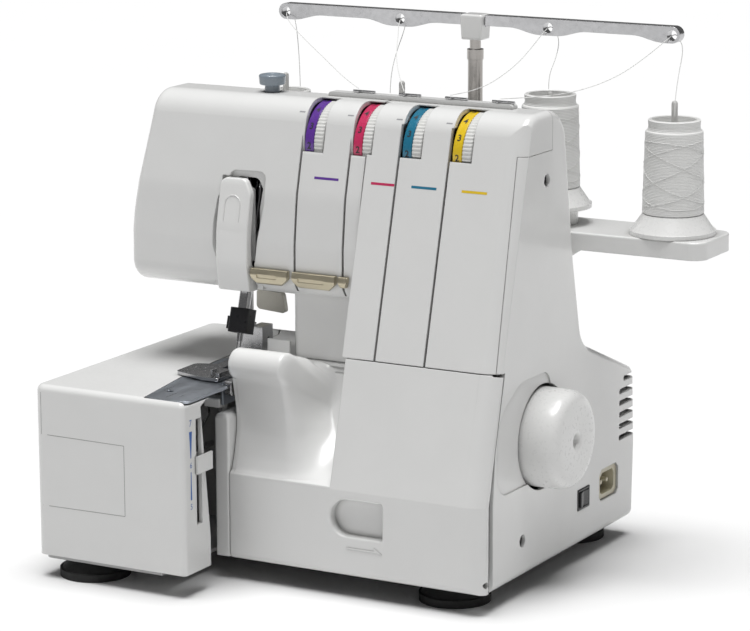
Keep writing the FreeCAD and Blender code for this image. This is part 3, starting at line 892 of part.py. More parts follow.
barsol = barsol.cut([cyl((h, ty - 20, bz), (0, 1, 0), S["bar_hole_radius"], 40) for h in hole_x])
capzone = box(pxs - 8.2, ty - 12, bz - 12, pxs + 8.2, ty + 12, bz + 8)
bl = barsol.cut([box(pxs - 8.3, ty - 12, bz - 14, pxs + 8.3, ty + 12, bz + 12)])
rod_c = Part.makeBox(16.6, 3.0, 5.0, V(pxs - 8.3, ty - 1.5, bz - 2.0))
bl = bl.fuse([rod_c])
feature("guide_bar", biggest(bl) if len(bl.Solids) > 1 else bl)
cap = prism([(pxs - 7.0, bz - 10.4, 1.0), (pxs - 8.1, bz + 5.6, 2.0), (pxs + 8.1, bz + 5.6, 2.0), (pxs + 7.0, bz - 10.4, 1.0)], "XZ", ty - 6.5, ty + 6.5)
cap = drop_fillet(cap, 1.5, lambda e: near(e.BoundBox.ZMin, bz + 5.6) and near(e.BoundBox.ZMax, bz + 5.6) and e.BoundBox.XLength > 5)
cap = cap.cut([Part.makeBox(20, 3.04, 5.04, V(pxs - 10, ty - 1.52, bz - 2.02)), cyl((pxs, ty, bz - 30), (0, 0, 1), S["pole_up_radius"], 30 - 8.4)])
feature("guide_bar_cap", cap)

# ---------------------------------------------------------------- threads
def route(points, r):
    P = [V(*p) for p in points]
    n = len(P)
    segs, cur, length, radii = [], P[0], 0.0, []
    for i in range(1, n - 1):
        a, p, b = P[i - 1], P[i], P[i + 1]
        u, w = (a - p).normalize(), (b - p).normalize()
        turn = math.pi - u.getAngle(w)
        short = min((a - p).Length, (b - p).Length)
        R = 0.45 * short / math.tan(turn / 2)
        t = 0.45 * short
        s, e = p + u * t, p + w * t
        bis = (u + w).normalize()
        m = p + bis * (R / math.cos(turn / 2) - R)
        segs.append(Part.LineSegment(cur, s).toShape())
        segs.append(Part.Arc(s, m, e).toShape())
        length += (s - cur).Length + R * turn
        radii.append(round(R, 1))
        cur = e
    segs.append(Part.LineSegment(cur, P[-1]).toShape())
    length += (P[-1] - cur).Length
    w = Part.Wire(segs)
    d = (P[1] - P[0]).normalize()
    prof = Part.Wire([Part.Circle(P[0], d, r).toShape()])
    s = w.makePipeShell([prof], True, False)
    return s, length, radii


ROUTES = {
    1: [(-175.5, 118.5, 286.2), (-176.6, 120.0, 296.0), (-180.5, 125.0, 312.0), (-185.4, 130.5, 326.0), (-187.0, 128.8, 332.6), (-187.0, 124.0, 334.6), (-186.0, 118.6, 332.4), (-178.5, 112.0, 327.0), (-158.0, 98.0, 318.5), (-135.0, 82.5, 310.0), (-112.5, 66.5, 301.6), (-97.5, 56.6, 298.0)],
    2: [(-106.0, 112.5, 287.4), (-106.6, 114.0, 297.0), (-106.0, 119.5, 311.0), (-104.6, 128.4, 325.0), (-103.2, 129.0, 332.6), (-103.2, 124.0, 334.6), (-102.8, 118.4, 332.2), (-99.5, 111.0, 324.0), (-90.0, 91.0, 313.0), (-77.0, 72.0, 303.8), (-65.5, 56.6, 298.0)],
    3: [(5.4, 112.6, 297.2), (4.6, 113.8, 305.0), (6.6, 120.0, 315.5), (4.8, 129.0, 325.5), (0.6, 129.2, 332.6), (0.5, 124.0, 334.6), (-0.6, 118.6, 332.2), (-7.0, 113.5, 322.0), (-11.0, 100.5, 312.5), (-19.0, 84.0, 303.0), (-26.6, 68.0, 298.8), (-33.5, 56.6, 298.0)],
    4: [(90.0, 112.8, 286.2), (89.5, 114.0, 296.0), (89.2, 120.0, 312.0), (88.2, 129.0, 325.5), (84.2, 129.2, 332.6), (84.0, 124.0, 334.6), (81.5, 118.4, 331.4), (72.5, 112.5, 322.5), (60.0, 100.0, 311.0), (44.0, 84.5, 303.0), (24.0, 68.0, 299.2), (0.5, 56.6, 298.0)],
}
for k, pts in ROUTES.items():
    s, L, radii = route(pts, S["thread_radius"])
    area = math.pi * S["thread_radius"] ** 2
    print("thread", k, "length %.1f" % L, "volume/section %.1f" % (s.Volume / area), "radii", radii)
    feature("thread_%d" % k, s if s.ShapeType == "Solid" else s.Solids[0] if s.Solids else Part.Solid(s))

# ---------------------------------------------------------------- checks and export
doc.recompute()
bad = []
for o in doc.Objects:
    st = list(o.State)
    if "Invalid" in st or "Error" in st:
        bad.append((o.Name, st))
for o in NODES:
    sh = o.Shape
    if sh.isNull() or not sh.isValid() or sh.Volume <= 0:
        bad.append((o.Label, "shape"))
print("bad", bad)
labels = [o.Label for o in NODES]
assert len(labels) == len(set(labels)), "labels repeat"
assert not bad, bad
os.makedirs("parts", exist_ok=True)
bb = FreeCAD.BoundBox()
for o in NODES:
    sh = o.Shape
    sh.exportStep("parts/%s.step" % o.Label)
    bb.add(sh.BoundBox)
print("nodes", len(NODES), "box", bb)
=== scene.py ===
import bpy, bmesh, math, random
from mathutils import Vector, Matrix
from mathutils.bvhtree import BVHTree


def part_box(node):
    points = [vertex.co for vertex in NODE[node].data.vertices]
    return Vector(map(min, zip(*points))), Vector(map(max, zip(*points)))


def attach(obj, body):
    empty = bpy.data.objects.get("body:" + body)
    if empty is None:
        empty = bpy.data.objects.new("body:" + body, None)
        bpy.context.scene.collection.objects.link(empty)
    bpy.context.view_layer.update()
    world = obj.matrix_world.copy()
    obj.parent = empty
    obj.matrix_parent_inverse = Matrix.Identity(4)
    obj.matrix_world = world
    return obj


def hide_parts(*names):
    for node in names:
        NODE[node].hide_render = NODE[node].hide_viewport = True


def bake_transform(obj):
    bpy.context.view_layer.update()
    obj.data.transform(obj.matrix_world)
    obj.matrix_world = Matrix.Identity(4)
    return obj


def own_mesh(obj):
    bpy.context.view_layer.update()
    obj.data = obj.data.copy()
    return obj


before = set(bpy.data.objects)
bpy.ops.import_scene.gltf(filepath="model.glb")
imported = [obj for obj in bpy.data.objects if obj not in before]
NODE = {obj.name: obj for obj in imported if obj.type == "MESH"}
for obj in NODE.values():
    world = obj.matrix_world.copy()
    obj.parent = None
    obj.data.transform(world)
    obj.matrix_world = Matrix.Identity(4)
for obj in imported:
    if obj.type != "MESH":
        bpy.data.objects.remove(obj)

random.seed(7)
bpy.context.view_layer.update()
DX, DY = 67.42, -51.96


def F(x, y, z):
    """Working datum in millimetres (front right foot) to the row frame in metres."""
    return Vector(((x + DX) / 1000.0, (y + DY) / 1000.0, z / 1000.0))


# ------------------------------------------------------------------ camera
AZ, PITCH, ROLL = math.radians(29.17), math.radians(12.1), math.radians(-0.21)
sa, ca, sp_, cp_ = math.sin(AZ), math.cos(AZ), math.sin(PITCH), math.cos(PITCH)
fwd = Vector((-sa * cp_, ca * cp_, -sp_))
right0 = Vector((ca, sa, 0.0))
up0 = right0.cross(fwd)
right = right0 * math.cos(ROLL) + up0 * math.sin(ROLL)
up = -right0 * math.sin(ROLL) + up0 * math.cos(ROLL)
cam_data = bpy.data.cameras.new("camera")
cam_data.sensor_width = 36.0
cam_data.lens = 3217.6 * 36.0 / 750.0
cam_data.clip_start, cam_data.clip_end = 0.05, 60.0
cam = bpy.data.objects.new("camera", cam_data)
m = Matrix((right, up, -fwd)).transposed().to_4x4()
m.translation = F(870.0, -1656.8, 576.6)
cam.matrix_world = m
bpy.context.scene.collection.objects.link(cam)
bpy.context.scene.camera = cam


# ------------------------------------------------------------------ materials
def new_mat(name):
    mt = bpy.data.materials.new(name)
    mt.use_nodes = True
    nt = mt.node_tree
    b = nt.nodes["Principled BSDF"]
    return mt, nt, b


def node(nt, kind, **kw):
    n = nt.nodes.new(kind)
    for k, v in kw.items():
        setattr(n, k, v)
    return n


def ramp(nt, src, lo, hi, c0, c1):
    r = node(nt, "ShaderNodeMapRange")
    r.inputs["From Min"].default_value, r.inputs["From Max"].default_value = lo, hi
    r.inputs["To Min"].default_value, r.inputs["To Max"].default_value = c0, c1
    nt.links.new(src, r.inputs["Value"])
    return r.outputs["Result"]


def noise(nt, scale, detail=3.0, rough=0.5, vec=None):
    n = node(nt, "ShaderNodeTexNoise")
    n.inputs["Scale"].default_value = scale
    n.inputs["Detail"].default_value = detail
    n.inputs["Roughness"].default_value = rough
    if vec is None:
        tc = node(nt, "ShaderNodeTexCoord")
        vec = tc.outputs["Object"]
    nt.links.new(vec, n.inputs["Vector"])
    return n.outputs["Fac"]


def mixc(nt, fac, a, b):
    mx = node(nt, "ShaderNodeMix", data_type="RGBA")
    for s, v in ((mx.inputs[6], a), (mx.inputs[7], b)):
        if isinstance(v, (tuple, list)):
            s.default_value = (*v[:3], 1.0)
        else:
            nt.links.new(v, s)
    if isinstance(fac, (int, float)):
        mx.inputs[0].default_value = fac
    else:
        nt.links.new(fac, mx.inputs[0])
    return mx.outputs[2]


def finish_mat(nt, b, edge=0.0006, height=None, strength=0.05, distance=0.0002):
    if edge <= 0.0:
        bp = node(nt, "ShaderNodeBump")
        bp.inputs["Strength"].default_value = strength
        bp.inputs["Distance"].default_value = distance
        nt.links.new(height, bp.inputs["Height"])
        nt.links.new(bp.outputs["Normal"], b.inputs["Normal"])
        return
    bev = node(nt, "ShaderNodeBevel", samples=4)
    bev.inputs["Radius"].default_value = edge
    if height is not None:
        bp = node(nt, "ShaderNodeBump")
        bp.inputs["Strength"].default_value = strength
        bp.inputs["Distance"].default_value = distance
        nt.links.new(height, bp.inputs["Height"])
        nt.links.new(bev.outputs["Normal"], bp.inputs["Normal"])
        nt.links.new(bp.outputs["Normal"], b.inputs["Normal"])
    else:
        nt.links.new(bev.outputs["Normal"], b.inputs["Normal"])


def plastic(name, col, rough=(0.22, 0.27), var=0.012, coat=0.25, edge=0.0009, grain=2600.0, bump=0.03, spec=0.5, crevice_shade=None):
    mt, nt, b = new_mat(name)
    n1 = noise(nt, 38.0, 4.0, 0.55)
    n2 = noise(nt, 420.0, 3.0, 0.6)
    n3 = noise(nt, grain, 2.0, 0.5)
    dark = tuple(c * (1 - var) for c in col)
    lite = tuple(min(1.0, c * (1 + var * 0.5)) for c in col)
    c = mixc(nt, ramp(nt, n1, 0.35, 0.65, 0.0, 1.0), dark, lite)
    # painted shade: ambient occlusion within 4 mm darkens creases, seams and recesses towards the given shade colour
    if crevice_shade:
        ao = node(nt, "ShaderNodeAmbientOcclusion", samples=4)
        ao.inputs["Distance"].default_value = 0.004
        f = ramp(nt, ao.outputs["AO"], 0.35, 0.95, 0.0, 1.0)
        c = mixc(nt, f, crevice_shade, c)
    nt.links.new(c, b.inputs["Base Color"])
    nt.links.new(ramp(nt, n2, 0.3, 0.7, rough[0], rough[1]), b.inputs["Roughness"])
    b.inputs["Specular IOR Level"].default_value = spec
    b.inputs["Coat Weight"].default_value = coat
    b.inputs["Coat Roughness"].default_value = 0.08
    finish_mat(nt, b, edge, n3, bump)
    return mt


def metal(name, col, rough=(0.12, 0.24), brushed=None, edge=0.0004, bump=0.04):
    mt, nt, b = new_mat(name)
    tc = node(nt, "ShaderNodeTexCoord")
    mp = node(nt, "ShaderNodeMapping")
    mp.inputs["Scale"].default_value = brushed or (1, 1, 1)
    nt.links.new(tc.outputs["Object"], mp.inputs["Vector"])
    n1 = noise(nt, 300.0, 3.0, 0.6, mp.outputs["Vector"])
    n2 = noise(nt, 25.0, 3.0, 0.5)
    c = mixc(nt, ramp(nt, n2, 0.3, 0.7, 0.0, 1.0), tuple(x * 0.88 for x in col), col)
    nt.links.new(c, b.inputs["Base Color"])
    nt.links.new(ramp(nt, n1, 0.3, 0.7, rough[0], rough[1]), b.inputs["Roughness"])
    b.inputs["Metallic"].default_value = 1.0
    finish_mat(nt, b, edge, n1, bump)
    return mt


# the extra dark colour given to case_white, beige_plastic and ivory_plastic is painted crevice shade
WHITE = plastic("case_white", (0.735, 0.735, 0.727), crevice_shade=(0.45, 0.45, 0.44))
WHITE_HI = plastic("case_white_gloss", (0.78, 0.78, 0.77), rough=(0.14, 0.18), coat=0.5)
WHEEL = plastic("wheel_white", (0.75, 0.75, 0.74), rough=(0.27, 0.285), var=0.006, edge=0.0, grain=900.0, bump=0.004)
PAN = plastic("pan_grey", (0.42, 0.42, 0.42), rough=(0.4, 0.5), coat=0.0)
RUBBER = plastic("rubber", (0.018, 0.018, 0.018), rough=(0.55, 0.75), coat=0.0, grain=900.0, bump=0.2, spec=0.35)
BLACK = plastic("black_plastic", (0.015, 0.015, 0.017), rough=(0.25, 0.4), coat=0.1, bump=0.08)
BEIGE = plastic("beige_plastic", (0.62, 0.58, 0.44), rough=(0.3, 0.42), coat=0.1, crevice_shade=(0.25, 0.22, 0.15))
IVORY = plastic("ivory_plastic", (0.74, 0.71, 0.62), rough=(0.26, 0.36), coat=0.2, crevice_shade=(0.4, 0.36, 0.28))
HOLDER = plastic("holder_white", (0.77, 0.77, 0.76), rough=(0.25, 0.32))
PINP = plastic("pin_grey", (0.62, 0.615, 0.60), rough=(0.35, 0.45), coat=0.0)
KNOBC = plastic("knob_blue_grey", (0.22, 0.26, 0.30), rough=(0.18, 0.3), coat=0.4)
CHROME = metal("chrome", (0.70, 0.70, 0.71), (0.10, 0.2))
# darker, rougher chrome for the guide bar and duller steel parts; its lower base colour is partly painted shade,
# standing in for the dark surroundings polished chrome would reflect
CHROME_D = metal("chrome_dark", (0.56, 0.56, 0.57), (0.16, 0.28))
STEEL = metal("plate_steel", (0.50, 0.535, 0.59), (0.26, 0.4), brushed=(1.0, 0.06, 1.0), bump=0.08)
ALLOY = metal("cast_alloy", (0.5, 0.5, 0.5), (0.4, 0.6), bump=0.3)
MOTOR = metal("motor_metal", (0.2, 0.2, 0.2), (0.35, 0.5))
GUIDE = metal("guide_satin", (0.62, 0.56, 0.42), (0.3, 0.42))
TUBE = metal("tube_nickel", (0.42, 0.40, 0.38), (0.16, 0.28), brushed=(1.0, 1.0, 0.05))


def thread_mat(name, cross=False, ring_z=None):
    mt, nt, b = new_mat(name)
    tc = node(nt, "ShaderNodeTexCoord")
    w = node(nt, "ShaderNodeTexWave", wave_type="BANDS", bands_direction="Z")
    w.inputs["Scale"].default_value = 340.0
    w.inputs["Distortion"].default_value = 2.2 if cross else 0.8
    w.inputs["Detail"].default_value = 2.0
    w.inputs["Detail Scale"].default_value = 3.0 if cross else 1.2
    nt.links.new(tc.outputs["Object"], w.inputs["Vector"])
    fz = noise(nt, 2600.0, 3.0, 0.6)
    c = mixc(nt, w.outputs["Fac"], (0.72, 0.72, 0.705), (0.86, 0.86, 0.85))
    c = mixc(nt, ramp(nt, fz, 0.3, 0.7, 0.0, 0.25), c, (0.70, 0.70, 0.69))
    nt.links.new(c, b.inputs["Base Color"])
    nt.links.new(ramp(nt, fz, 0.3, 0.7, 0.55, 0.75), b.inputs["Roughness"])
    b.inputs["Sheen Weight"].default_value = 0.45
    b.inputs["Sheen Roughness"].default_value = 0.4
    b.inputs["Subsurface Weight"].default_value = 0.0
    bp = node(nt, "ShaderNodeBump")
    bp.inputs["Strength"].default_value = 0.7
    bp.inputs["Distance"].default_value = 0.00025
    nt.links.new(w.outputs["Fac"], bp.inputs["Height"])
    b2 = node(nt, "ShaderNodeBump")
    b2.inputs["Strength"].default_value = 0.3
    b2.inputs["Distance"].default_value = 0.0001
    nt.links.new(fz, b2.inputs["Height"])
    nt.links.new(bp.outputs["Normal"], b2.inputs["Normal"])
    nt.links.new(b2.outputs["Normal"], b.inputs["Normal"])
    return mt


CONE = thread_mat("wound_thread")
CONE_X = thread_mat("wound_thread_crossed", cross=True)
THREAD = thread_mat("sewing_thread")

NODE_MATS = {
    "base_pan": PAN, "rubber_feet": RUBBER, "drive_belt": RUBBER, "guide_bar": CHROME_D, "needle_bar": CHROME,
    "presser_bar": CHROME, "needles": CHROME, "guide_pole_lower": TUBE, "guide_pole_upper": TUBE, "presser_foot": CHROME_D,
    "upper_looper": CHROME, "lower_looper": CHROME, "feed_dog": STEEL, "upper_knife": CHROME_D, "lower_knife": STEEL,
    "thread_clips": CHROME_D, "tension_discs": CHROME, "pivot_pins": CHROME, "front_cover_hinge_rod": STEEL,
    "needle_plate": STEEL, "main_shaft": STEEL, "cover_screws": CHROME_D, "presser_spring": STEEL, "main_frame": ALLOY,
    "needle_clamp": BLACK, "switch_housing": BLACK, "switch_rocker": BLACK, "pressure_knob": KNOBC, "power_inlet": BEIGE,
    "arm_thread_guides": GUIDE, "lifter_lever": IVORY, "motor_housing": MOTOR, "motor_rotor": MOTOR,
    "cone_holders": HOLDER, "spool_pins": PINP, "handwheel": WHEEL, "takeup_lever": WHITE_HI, "guide_bar_cap": WHITE_HI,
    "thread_cone_1": CONE, "thread_cone_2": CONE, "thread_cone_3": CONE, "thread_cone_4": CONE_X,
    "thread_1": THREAD, "thread_2": THREAD, "thread_3": THREAD, "thread_4": THREAD,
}
for n, o in NODE.items():
    o.data.materials.clear()
    o.data.materials.append(NODE_MATS.get(n, WHITE))
    for p in o.data.polygons:
        p.material_index = 0
    o.data.shade_smooth()
    o.data.set_sharp_from_angle(angle=math.radians(32))


# ------------------------------------------------------------------ mesh helpers
def obj_from(name, verts, faces, mat, smooth=True, angle=35):
    me = bpy.data.meshes.new(name)
    me.from_pydata([tuple(v) for v in verts], [], faces)
    me.update()
    bm = bmesh.new(); bm.from_mesh(me)
    bmesh.ops.remove_doubles(bm, verts=bm.verts, dist=1e-7)
    bmesh.ops.recalc_face_normals(bm, faces=bm.faces)
    bm.to_mesh(me); bm.free()
    if smooth:
        me.shade_smooth()
        me.set_sharp_from_angle(angle=math.radians(angle))
    me.materials.append(mat)
    o = bpy.data.objects.new(name, me)
    bpy.context.scene.collection.objects.link(o)
    return o


def lathe_x(name, prof, centre, mat, seg=144, ripple=None):
    """Closed turned piece about the X axis. prof: (x, r) in millimetres; ripple(i, angle) adds to ring i's radius."""
    cx, cy, cz = centre
    vs, fs = [], []
    n = len(prof)
    for i, (x, r) in enumerate(prof):
        for k in range(seg):
            a = 2 * math.pi * k / seg
            rr = r + (ripple(i, k) if ripple else 0.0)
            vs.append(F(cx + x, cy + rr * math.cos(a), cz + rr * math.sin(a)))
    for i in range(n):
        j = (i + 1) % n
        for k in range(seg):
            l = (k + 1) % seg
            fs.append((i * seg + k, j * seg + k, j * seg + l, i * seg + l))
    return obj_from(name, vs, fs, mat)


def tree(*names):
    vs, fs = [], []
    for n in names:
        me = NODE[n].data
        off = len(vs)
        vs += [v.co.copy() for v in me.vertices]
        fs += [tuple(off + i for i in p.vertices) for p in me.polygons]
    return BVHTree.FromPolygons(vs, fs)


def decal(name, grid, project, trees, mat, lift=0.00005, body="root"):
    """Thin print that follows a surface. grid: rows of points (Vector, row frame); project: ray direction."""
    vs, rows = [], []
    d = Vector(project).normalized()
    for row in grid:
        rr = []
        for p in row:
            hit = trees.ray_cast(p, d)
            q = hit[0] if hit[0] is not None else p
            nn = hit[1] if hit[1] is not None else -d
            if nn.dot(d) > 0:
                nn = -nn
            vs.append(q + nn * lift)
            rr.append(len(vs) - 1)
        rows.append(rr)
    mid = sorted(v.dot(d) for v in vs)[len(vs) // 2]
    fs = []
    for a, b in zip(rows, rows[1:]):
        for i in range(len(a) - 1):
            q = (a[i], a[i + 1], b[i + 1], b[i])
            dep = [vs[k].dot(d) for k in q]
            if max(dep) - min(dep) < 0.0012 and max(abs(v - mid) for v in dep) < 0.03:      # a print stops at a parting gap
                fs.append(q)
    me = bpy.data.meshes.new(name)
    me.from_pydata([tuple(v) for v in vs], [], fs)
    bm = bmesh.new(); bm.from_mesh(me)
    bmesh.ops.delete(bm, geom=[v for v in bm.verts if not v.link_faces], context="VERTS")
    bm.to_mesh(me); bm.free()
    me.shade_smooth()
    me.materials.append(mat)
    o = bpy.data.objects.new(name, me)
    bpy.context.scene.collection.objects.link(o)
    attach(o, body)
    return o


def bar_grid(a, b, w, n=8, across=None):
    """Rows of points along a-b, w wide, both in the row frame."""
    a, b = Vector(a), Vector(b)
    side = Vector(across).normalized() * (w / 2000.0)
    return [[a.lerp(b, i / n) - side for i in range(n + 1)], [a.lerp(b, i / n) + side for i in range(n + 1)]]


def ink(name, col, rough=0.4):
    return plastic(name, col, rough=(rough, rough + 0.1), var=0.06, coat=0.1, edge=0.0001)


INK_K = ink("ink_dark", (0.015, 0.015, 0.018), 0.5)
INK_G = ink("ink_grey", (0.32, 0.32, 0.33))
INK_B = ink("ink_blue", (0.03, 0.12, 0.42))
COLS = {"purple": (0.115, 0.035, 0.30), "red": (0.55, 0.03, 0.11), "teal": (0.015, 0.17, 0.28), "yellow": (0.78, 0.54, 0.02)}
INK_C = {k: ink("ink_" + k, v) for k, v in COLS.items()}
SHADOW = ink("line_shadow", (0.30, 0.30, 0.295), 0.5)

# ------------------------------------------------------------------ tension dials
DY_, DZ_, DR = 48.5, 265.0, 26.0
dial_x = [-116.6 + 34 * i for i in range(4)]
names = ["purple", "red", "teal", "yellow"]
BAND = {k: plastic("dial_" + k, v, rough=(0.2, 0.3), var=0.08, coat=0.3) for k, v in COLS.items()}
# the extra dark colour given here is painted crevice shade
KNURL = plastic("dial_white", (0.74, 0.74, 0.72), rough=(0.28, 0.36), crevice_shade=(0.32, 0.32, 0.31))


def digit(name, ch, x, ang, h, mat, body, R):
    cu = bpy.data.curves.new(name, "FONT")
    cu.body = ch
    cu.size = h / 1000.0 / 0.72
    cu.extrude = 0.0
    cu.offset = 0.00011
    cu.align_x, cu.align_y = "CENTER", "CENTER"
    ob = bpy.data.objects.new(name + "_c", cu)
    bpy.context.scene.collection.objects.link(ob)
    dg = bpy.context.evaluated_depsgraph_get()
    me = bpy.data.meshes.new_from_object(ob.evaluated_get(dg))
    bpy.data.objects.remove(ob)
    bm = bmesh.new(); bm.from_mesh(me)
    bmesh.ops.triangulate(bm, faces=bm.faces)
    for _ in range(2):
        bmesh.ops.subdivide_edges(bm, edges=[e for e in bm.edges if e.calc_length() > 0.0008], cuts=1)
    # text x runs along the machine, text y runs up round the rim
    for v in bm.verts:
        u, w = v.co.x * 1000, v.co.y * 1000
        a = ang + w / R
        v.co = F(x + u, DY_ - (R + 0.06) * math.cos(a), DZ_ + (R + 0.06) * math.sin(a))
    bm.to_mesh(me); bm.free()
    me.materials.clear(); me.materials.append(mat)
    me.name = name
    o = bpy.data.objects.new(name, me)
    bpy.context.scene.collection.objects.link(o)
    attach(o, body)
    return o


for i, (x0, cn) in enumerate(zip(dial_x, names), 1):
    body = "dial_%d" % i
    band = lathe_x("dial_band_%d" % i, [(0.0, 2.6), (0.0, DR - 1.2), (0.35, DR - 0.5), (0.7, DR - 0.3), (6.2, DR - 0.3), (6.45, DR - 0.6), (6.45, 2.6)], (x0, DY_, DZ_), BAND[cn], 180)
    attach(band, body)
    teeth = lambda ri, k: (-0.42 if (k % 4) in (2, 3) and ri in (2, 3, 4) else 0.0)
    kn = lathe_x("dial_grip_%d" % i, [(6.5, 2.6), (6.5, DR - 0.9), (6.8, DR - 0.2), (7.2, DR), (12.7, DR), (13.35, DR - 0.9), (13.35, 2.6)], (x0, DY_, DZ_), KNURL, 280, teeth)
    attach(kn, body)
    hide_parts("tension_dial_%d" % i)
    for d in range(10):
        a = math.radians(29 + (d - 3) * 27.5)
        digit("dial_%d_digit_%d" % (i, d), str(d), x0 + 3.4, a, 4.1, INK_K, body, DR - 0.3)

# ------------------------------------------------------------------ handwheel
rim = [(15.0, 8.0), (15.0, 29.0), (15.6, 30.4), (17.0, 31.0), (44.0, 30.6), (49.5, 30.3), (52.6, 29.5), (54.9, 28.0), (56.3, 25.8), (56.9, 23.0), (57.0, 20.0), (57.0, 7.0), (56.8, 5.6), (56.2, 4.9), (54.6, 4.3), (52.4, 3.6), (51.6, 2.6), (51.3, 0.02), (48.0, 0.02), (48.0, 8.0)]
wl = lathe_x("handwheel_rim", rim, (0.0, 50.5, 94.0), WHEEL, 168)
wlo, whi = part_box("handwheel")
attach(wl, "drive")
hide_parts("handwheel")
print("handwheel", [round(v, 4) for v in (*wlo, *whi)], [round(c, 4) for c in F(15, 19.5, 63)], [round(c, 4) for c in F(57, 81.5, 125)])

# ------------------------------------------------------------------ threads
ROUTES = {
    1: [(-175.5, 118.5, 286.2), (-176.6, 120.0, 296.0), (-180.5, 125.0, 312.0), (-185.4, 130.5, 326.0), (-187.0, 128.8, 332.6), (-187.0, 124.0, 334.6), (-186.0, 118.6, 332.4), (-178.5, 112.0, 327.0), (-158.0, 98.0, 318.5), (-135.0, 82.5, 310.0), (-112.5, 66.5, 301.6), (-97.5, 56.6, 298.0)],
    2: [(-106.0, 112.5, 287.4), (-106.6, 114.0, 297.0), (-106.0, 119.5, 311.0), (-104.6, 128.4, 325.0), (-103.2, 129.0, 332.6), (-103.2, 124.0, 334.6), (-102.8, 118.4, 332.2), (-99.5, 111.0, 324.0), (-90.0, 91.0, 313.0), (-77.0, 72.0, 303.8), (-65.5, 56.6, 298.0)],
    3: [(5.4, 112.6, 297.2), (4.6, 113.8, 305.0), (6.6, 120.0, 315.5), (4.8, 129.0, 325.5), (0.6, 129.2, 332.6), (0.5, 124.0, 334.6), (-0.6, 118.6, 332.2), (-7.0, 113.5, 322.0), (-11.0, 100.5, 312.5), (-19.0, 84.0, 303.0), (-26.6, 68.0, 298.8), (-33.5, 56.6, 298.0)],
    4: [(90.0, 112.8, 286.2), (89.5, 114.0, 296.0), (89.2, 120.0, 312.0), (88.2, 129.0, 325.5), (84.2, 129.2, 332.6), (84.0, 124.0, 334.6), (81.5, 118.4, 331.4), (72.5, 112.5, 322.5), (60.0, 100.0, 311.0), (44.0, 84.5, 303.0), (24.0, 68.0, 299.2), (0.5, 56.6, 298.0)],
}


def tube(name, path, r, mat, sides=8):
    vs, fs = [], []
    n = len(path)
    t = [(path[min(i + 1, n - 1)] - path[max(i - 1, 0)]).normalized() for i in range(n)]
    u = t[0].orthogonal().normalized()
    for i in range(n):
        u = (u - t[i] * u.dot(t[i])).normalized()
        w = t[i].cross(u)
        for k in range(sides):
            a = 2 * math.pi * k / sides
            vs.append(path[i] + (u * math.cos(a) + w * math.sin(a)) * r)
    for i in range(n - 1):
        for k in range(sides):
            l = (k + 1) % sides
            fs.append((i * sides + k, i * sides + l, (i + 1) * sides + l, (i + 1) * sides + k))
    fs.append(tuple(range(sides))); fs.append(tuple((n - 1) * sides + k for k in reversed(range(sides))))
    return obj_from(name, vs, fs, mat)


for k, pts in ROUTES.items():
    cu = bpy.data.curves.new("route_%d" % k, "CURVE")
    cu.dimensions = "3D"
    cu.resolution_u = 10
    s = cu.splines.new("NURBS")
    s.points.add(len(pts) - 1)
    for q, p in zip(s.points, pts):
        q.co = (*F(*p), 1.0)
    s.order_u = 3
    s.use_endpoint_u = True
    ob = bpy.data.objects.new("route_%d" % k, cu)
    bpy.context.scene.collection.objects.link(ob)
    me = bpy.data.meshes.new_from_object(ob)
    path = [v.co.copy() for v in me.vertices]
    bpy.data.objects.remove(ob)
    bpy.data.meshes.remove(me)
    o = tube("thread_line_%d" % k, path, 0.00025, THREAD)
    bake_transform(o)
    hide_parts("thread_%d" % k)

# ------------------------------------------------------------------ top strands that cross on each cone of thread
for i in range(1, 5):
    lo_c, hi_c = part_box("thread_cone_%d" % i)
    ccx, ccy = (lo_c[0] + hi_c[0]) / 2, (lo_c[1] + hi_c[1]) / 2
    strand = []
    turns = 7
    for k in range(turns * 60 + 1):
        th = 2 * math.pi * k / 60.0 + 1.3 * i
        zz = 25.0 + 20.5 * math.sin(2 * math.pi * (k / 60.0) * 3.0 / turns + 0.7 * i)
        rr = (19.0 - 1.3 * zz / 50.5 + 0.06) / 1000.0
        strand.append(Vector((ccx + rr * math.cos(th), ccy + rr * math.sin(th), lo_c[2] + zz / 1000.0)))
    so = tube("cone_%d_strand" % i, strand, 0.00024, THREAD, 6)
    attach(so, "cone_%d" % i)

# ------------------------------------------------------------------ presser spring: a wound coil
SLO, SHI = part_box("presser_spring")
scx, scy = (SLO[0] + SHI[0]) / 2, (SLO[1] + SHI[1]) / 2
WIRE = 0.00045
coil = []
for k in range(0, 6 * 24 + 1):
    t = k / (6 * 24.0)
    e = 0.05 + 0.90 * t
    coil.append(Vector((scx + ((SHI[0] - SLO[0]) / 2 - WIRE) * math.cos(t * 12 * math.pi), scy + ((SHI[1] - SLO[1]) / 2 - WIRE) * math.sin(t * 12 * math.pi), SLO[2] + (SHI[2] - SLO[2]) * e)))
spring = tube("presser_coil", coil, WIRE, STEEL, 10)
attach(spring, "root")
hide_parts("presser_spring")
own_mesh(spring)

# ------------------------------------------------------------------ front cover's soft shoulder
# The roll flows into the scooped panel beside it in one S-curve. The piece lies on the cover and rides with it.
COVER = tree("front_cover")
PY, PZ = 40.0, 90.0


def reach(x, ph):
    d = Vector((0.0, -math.cos(ph), math.sin(ph)))
    o = F(x, PY, PZ) + d * 0.16
    hit = COVER.ray_cast(o, -d)
    return None if hit[0] is None else 160.0 - (hit[0] - o).length * 1000.0


def smooth(t):
    t = max(0.0, min(1.0, t))
    return t * t * (3 - 2 * t)


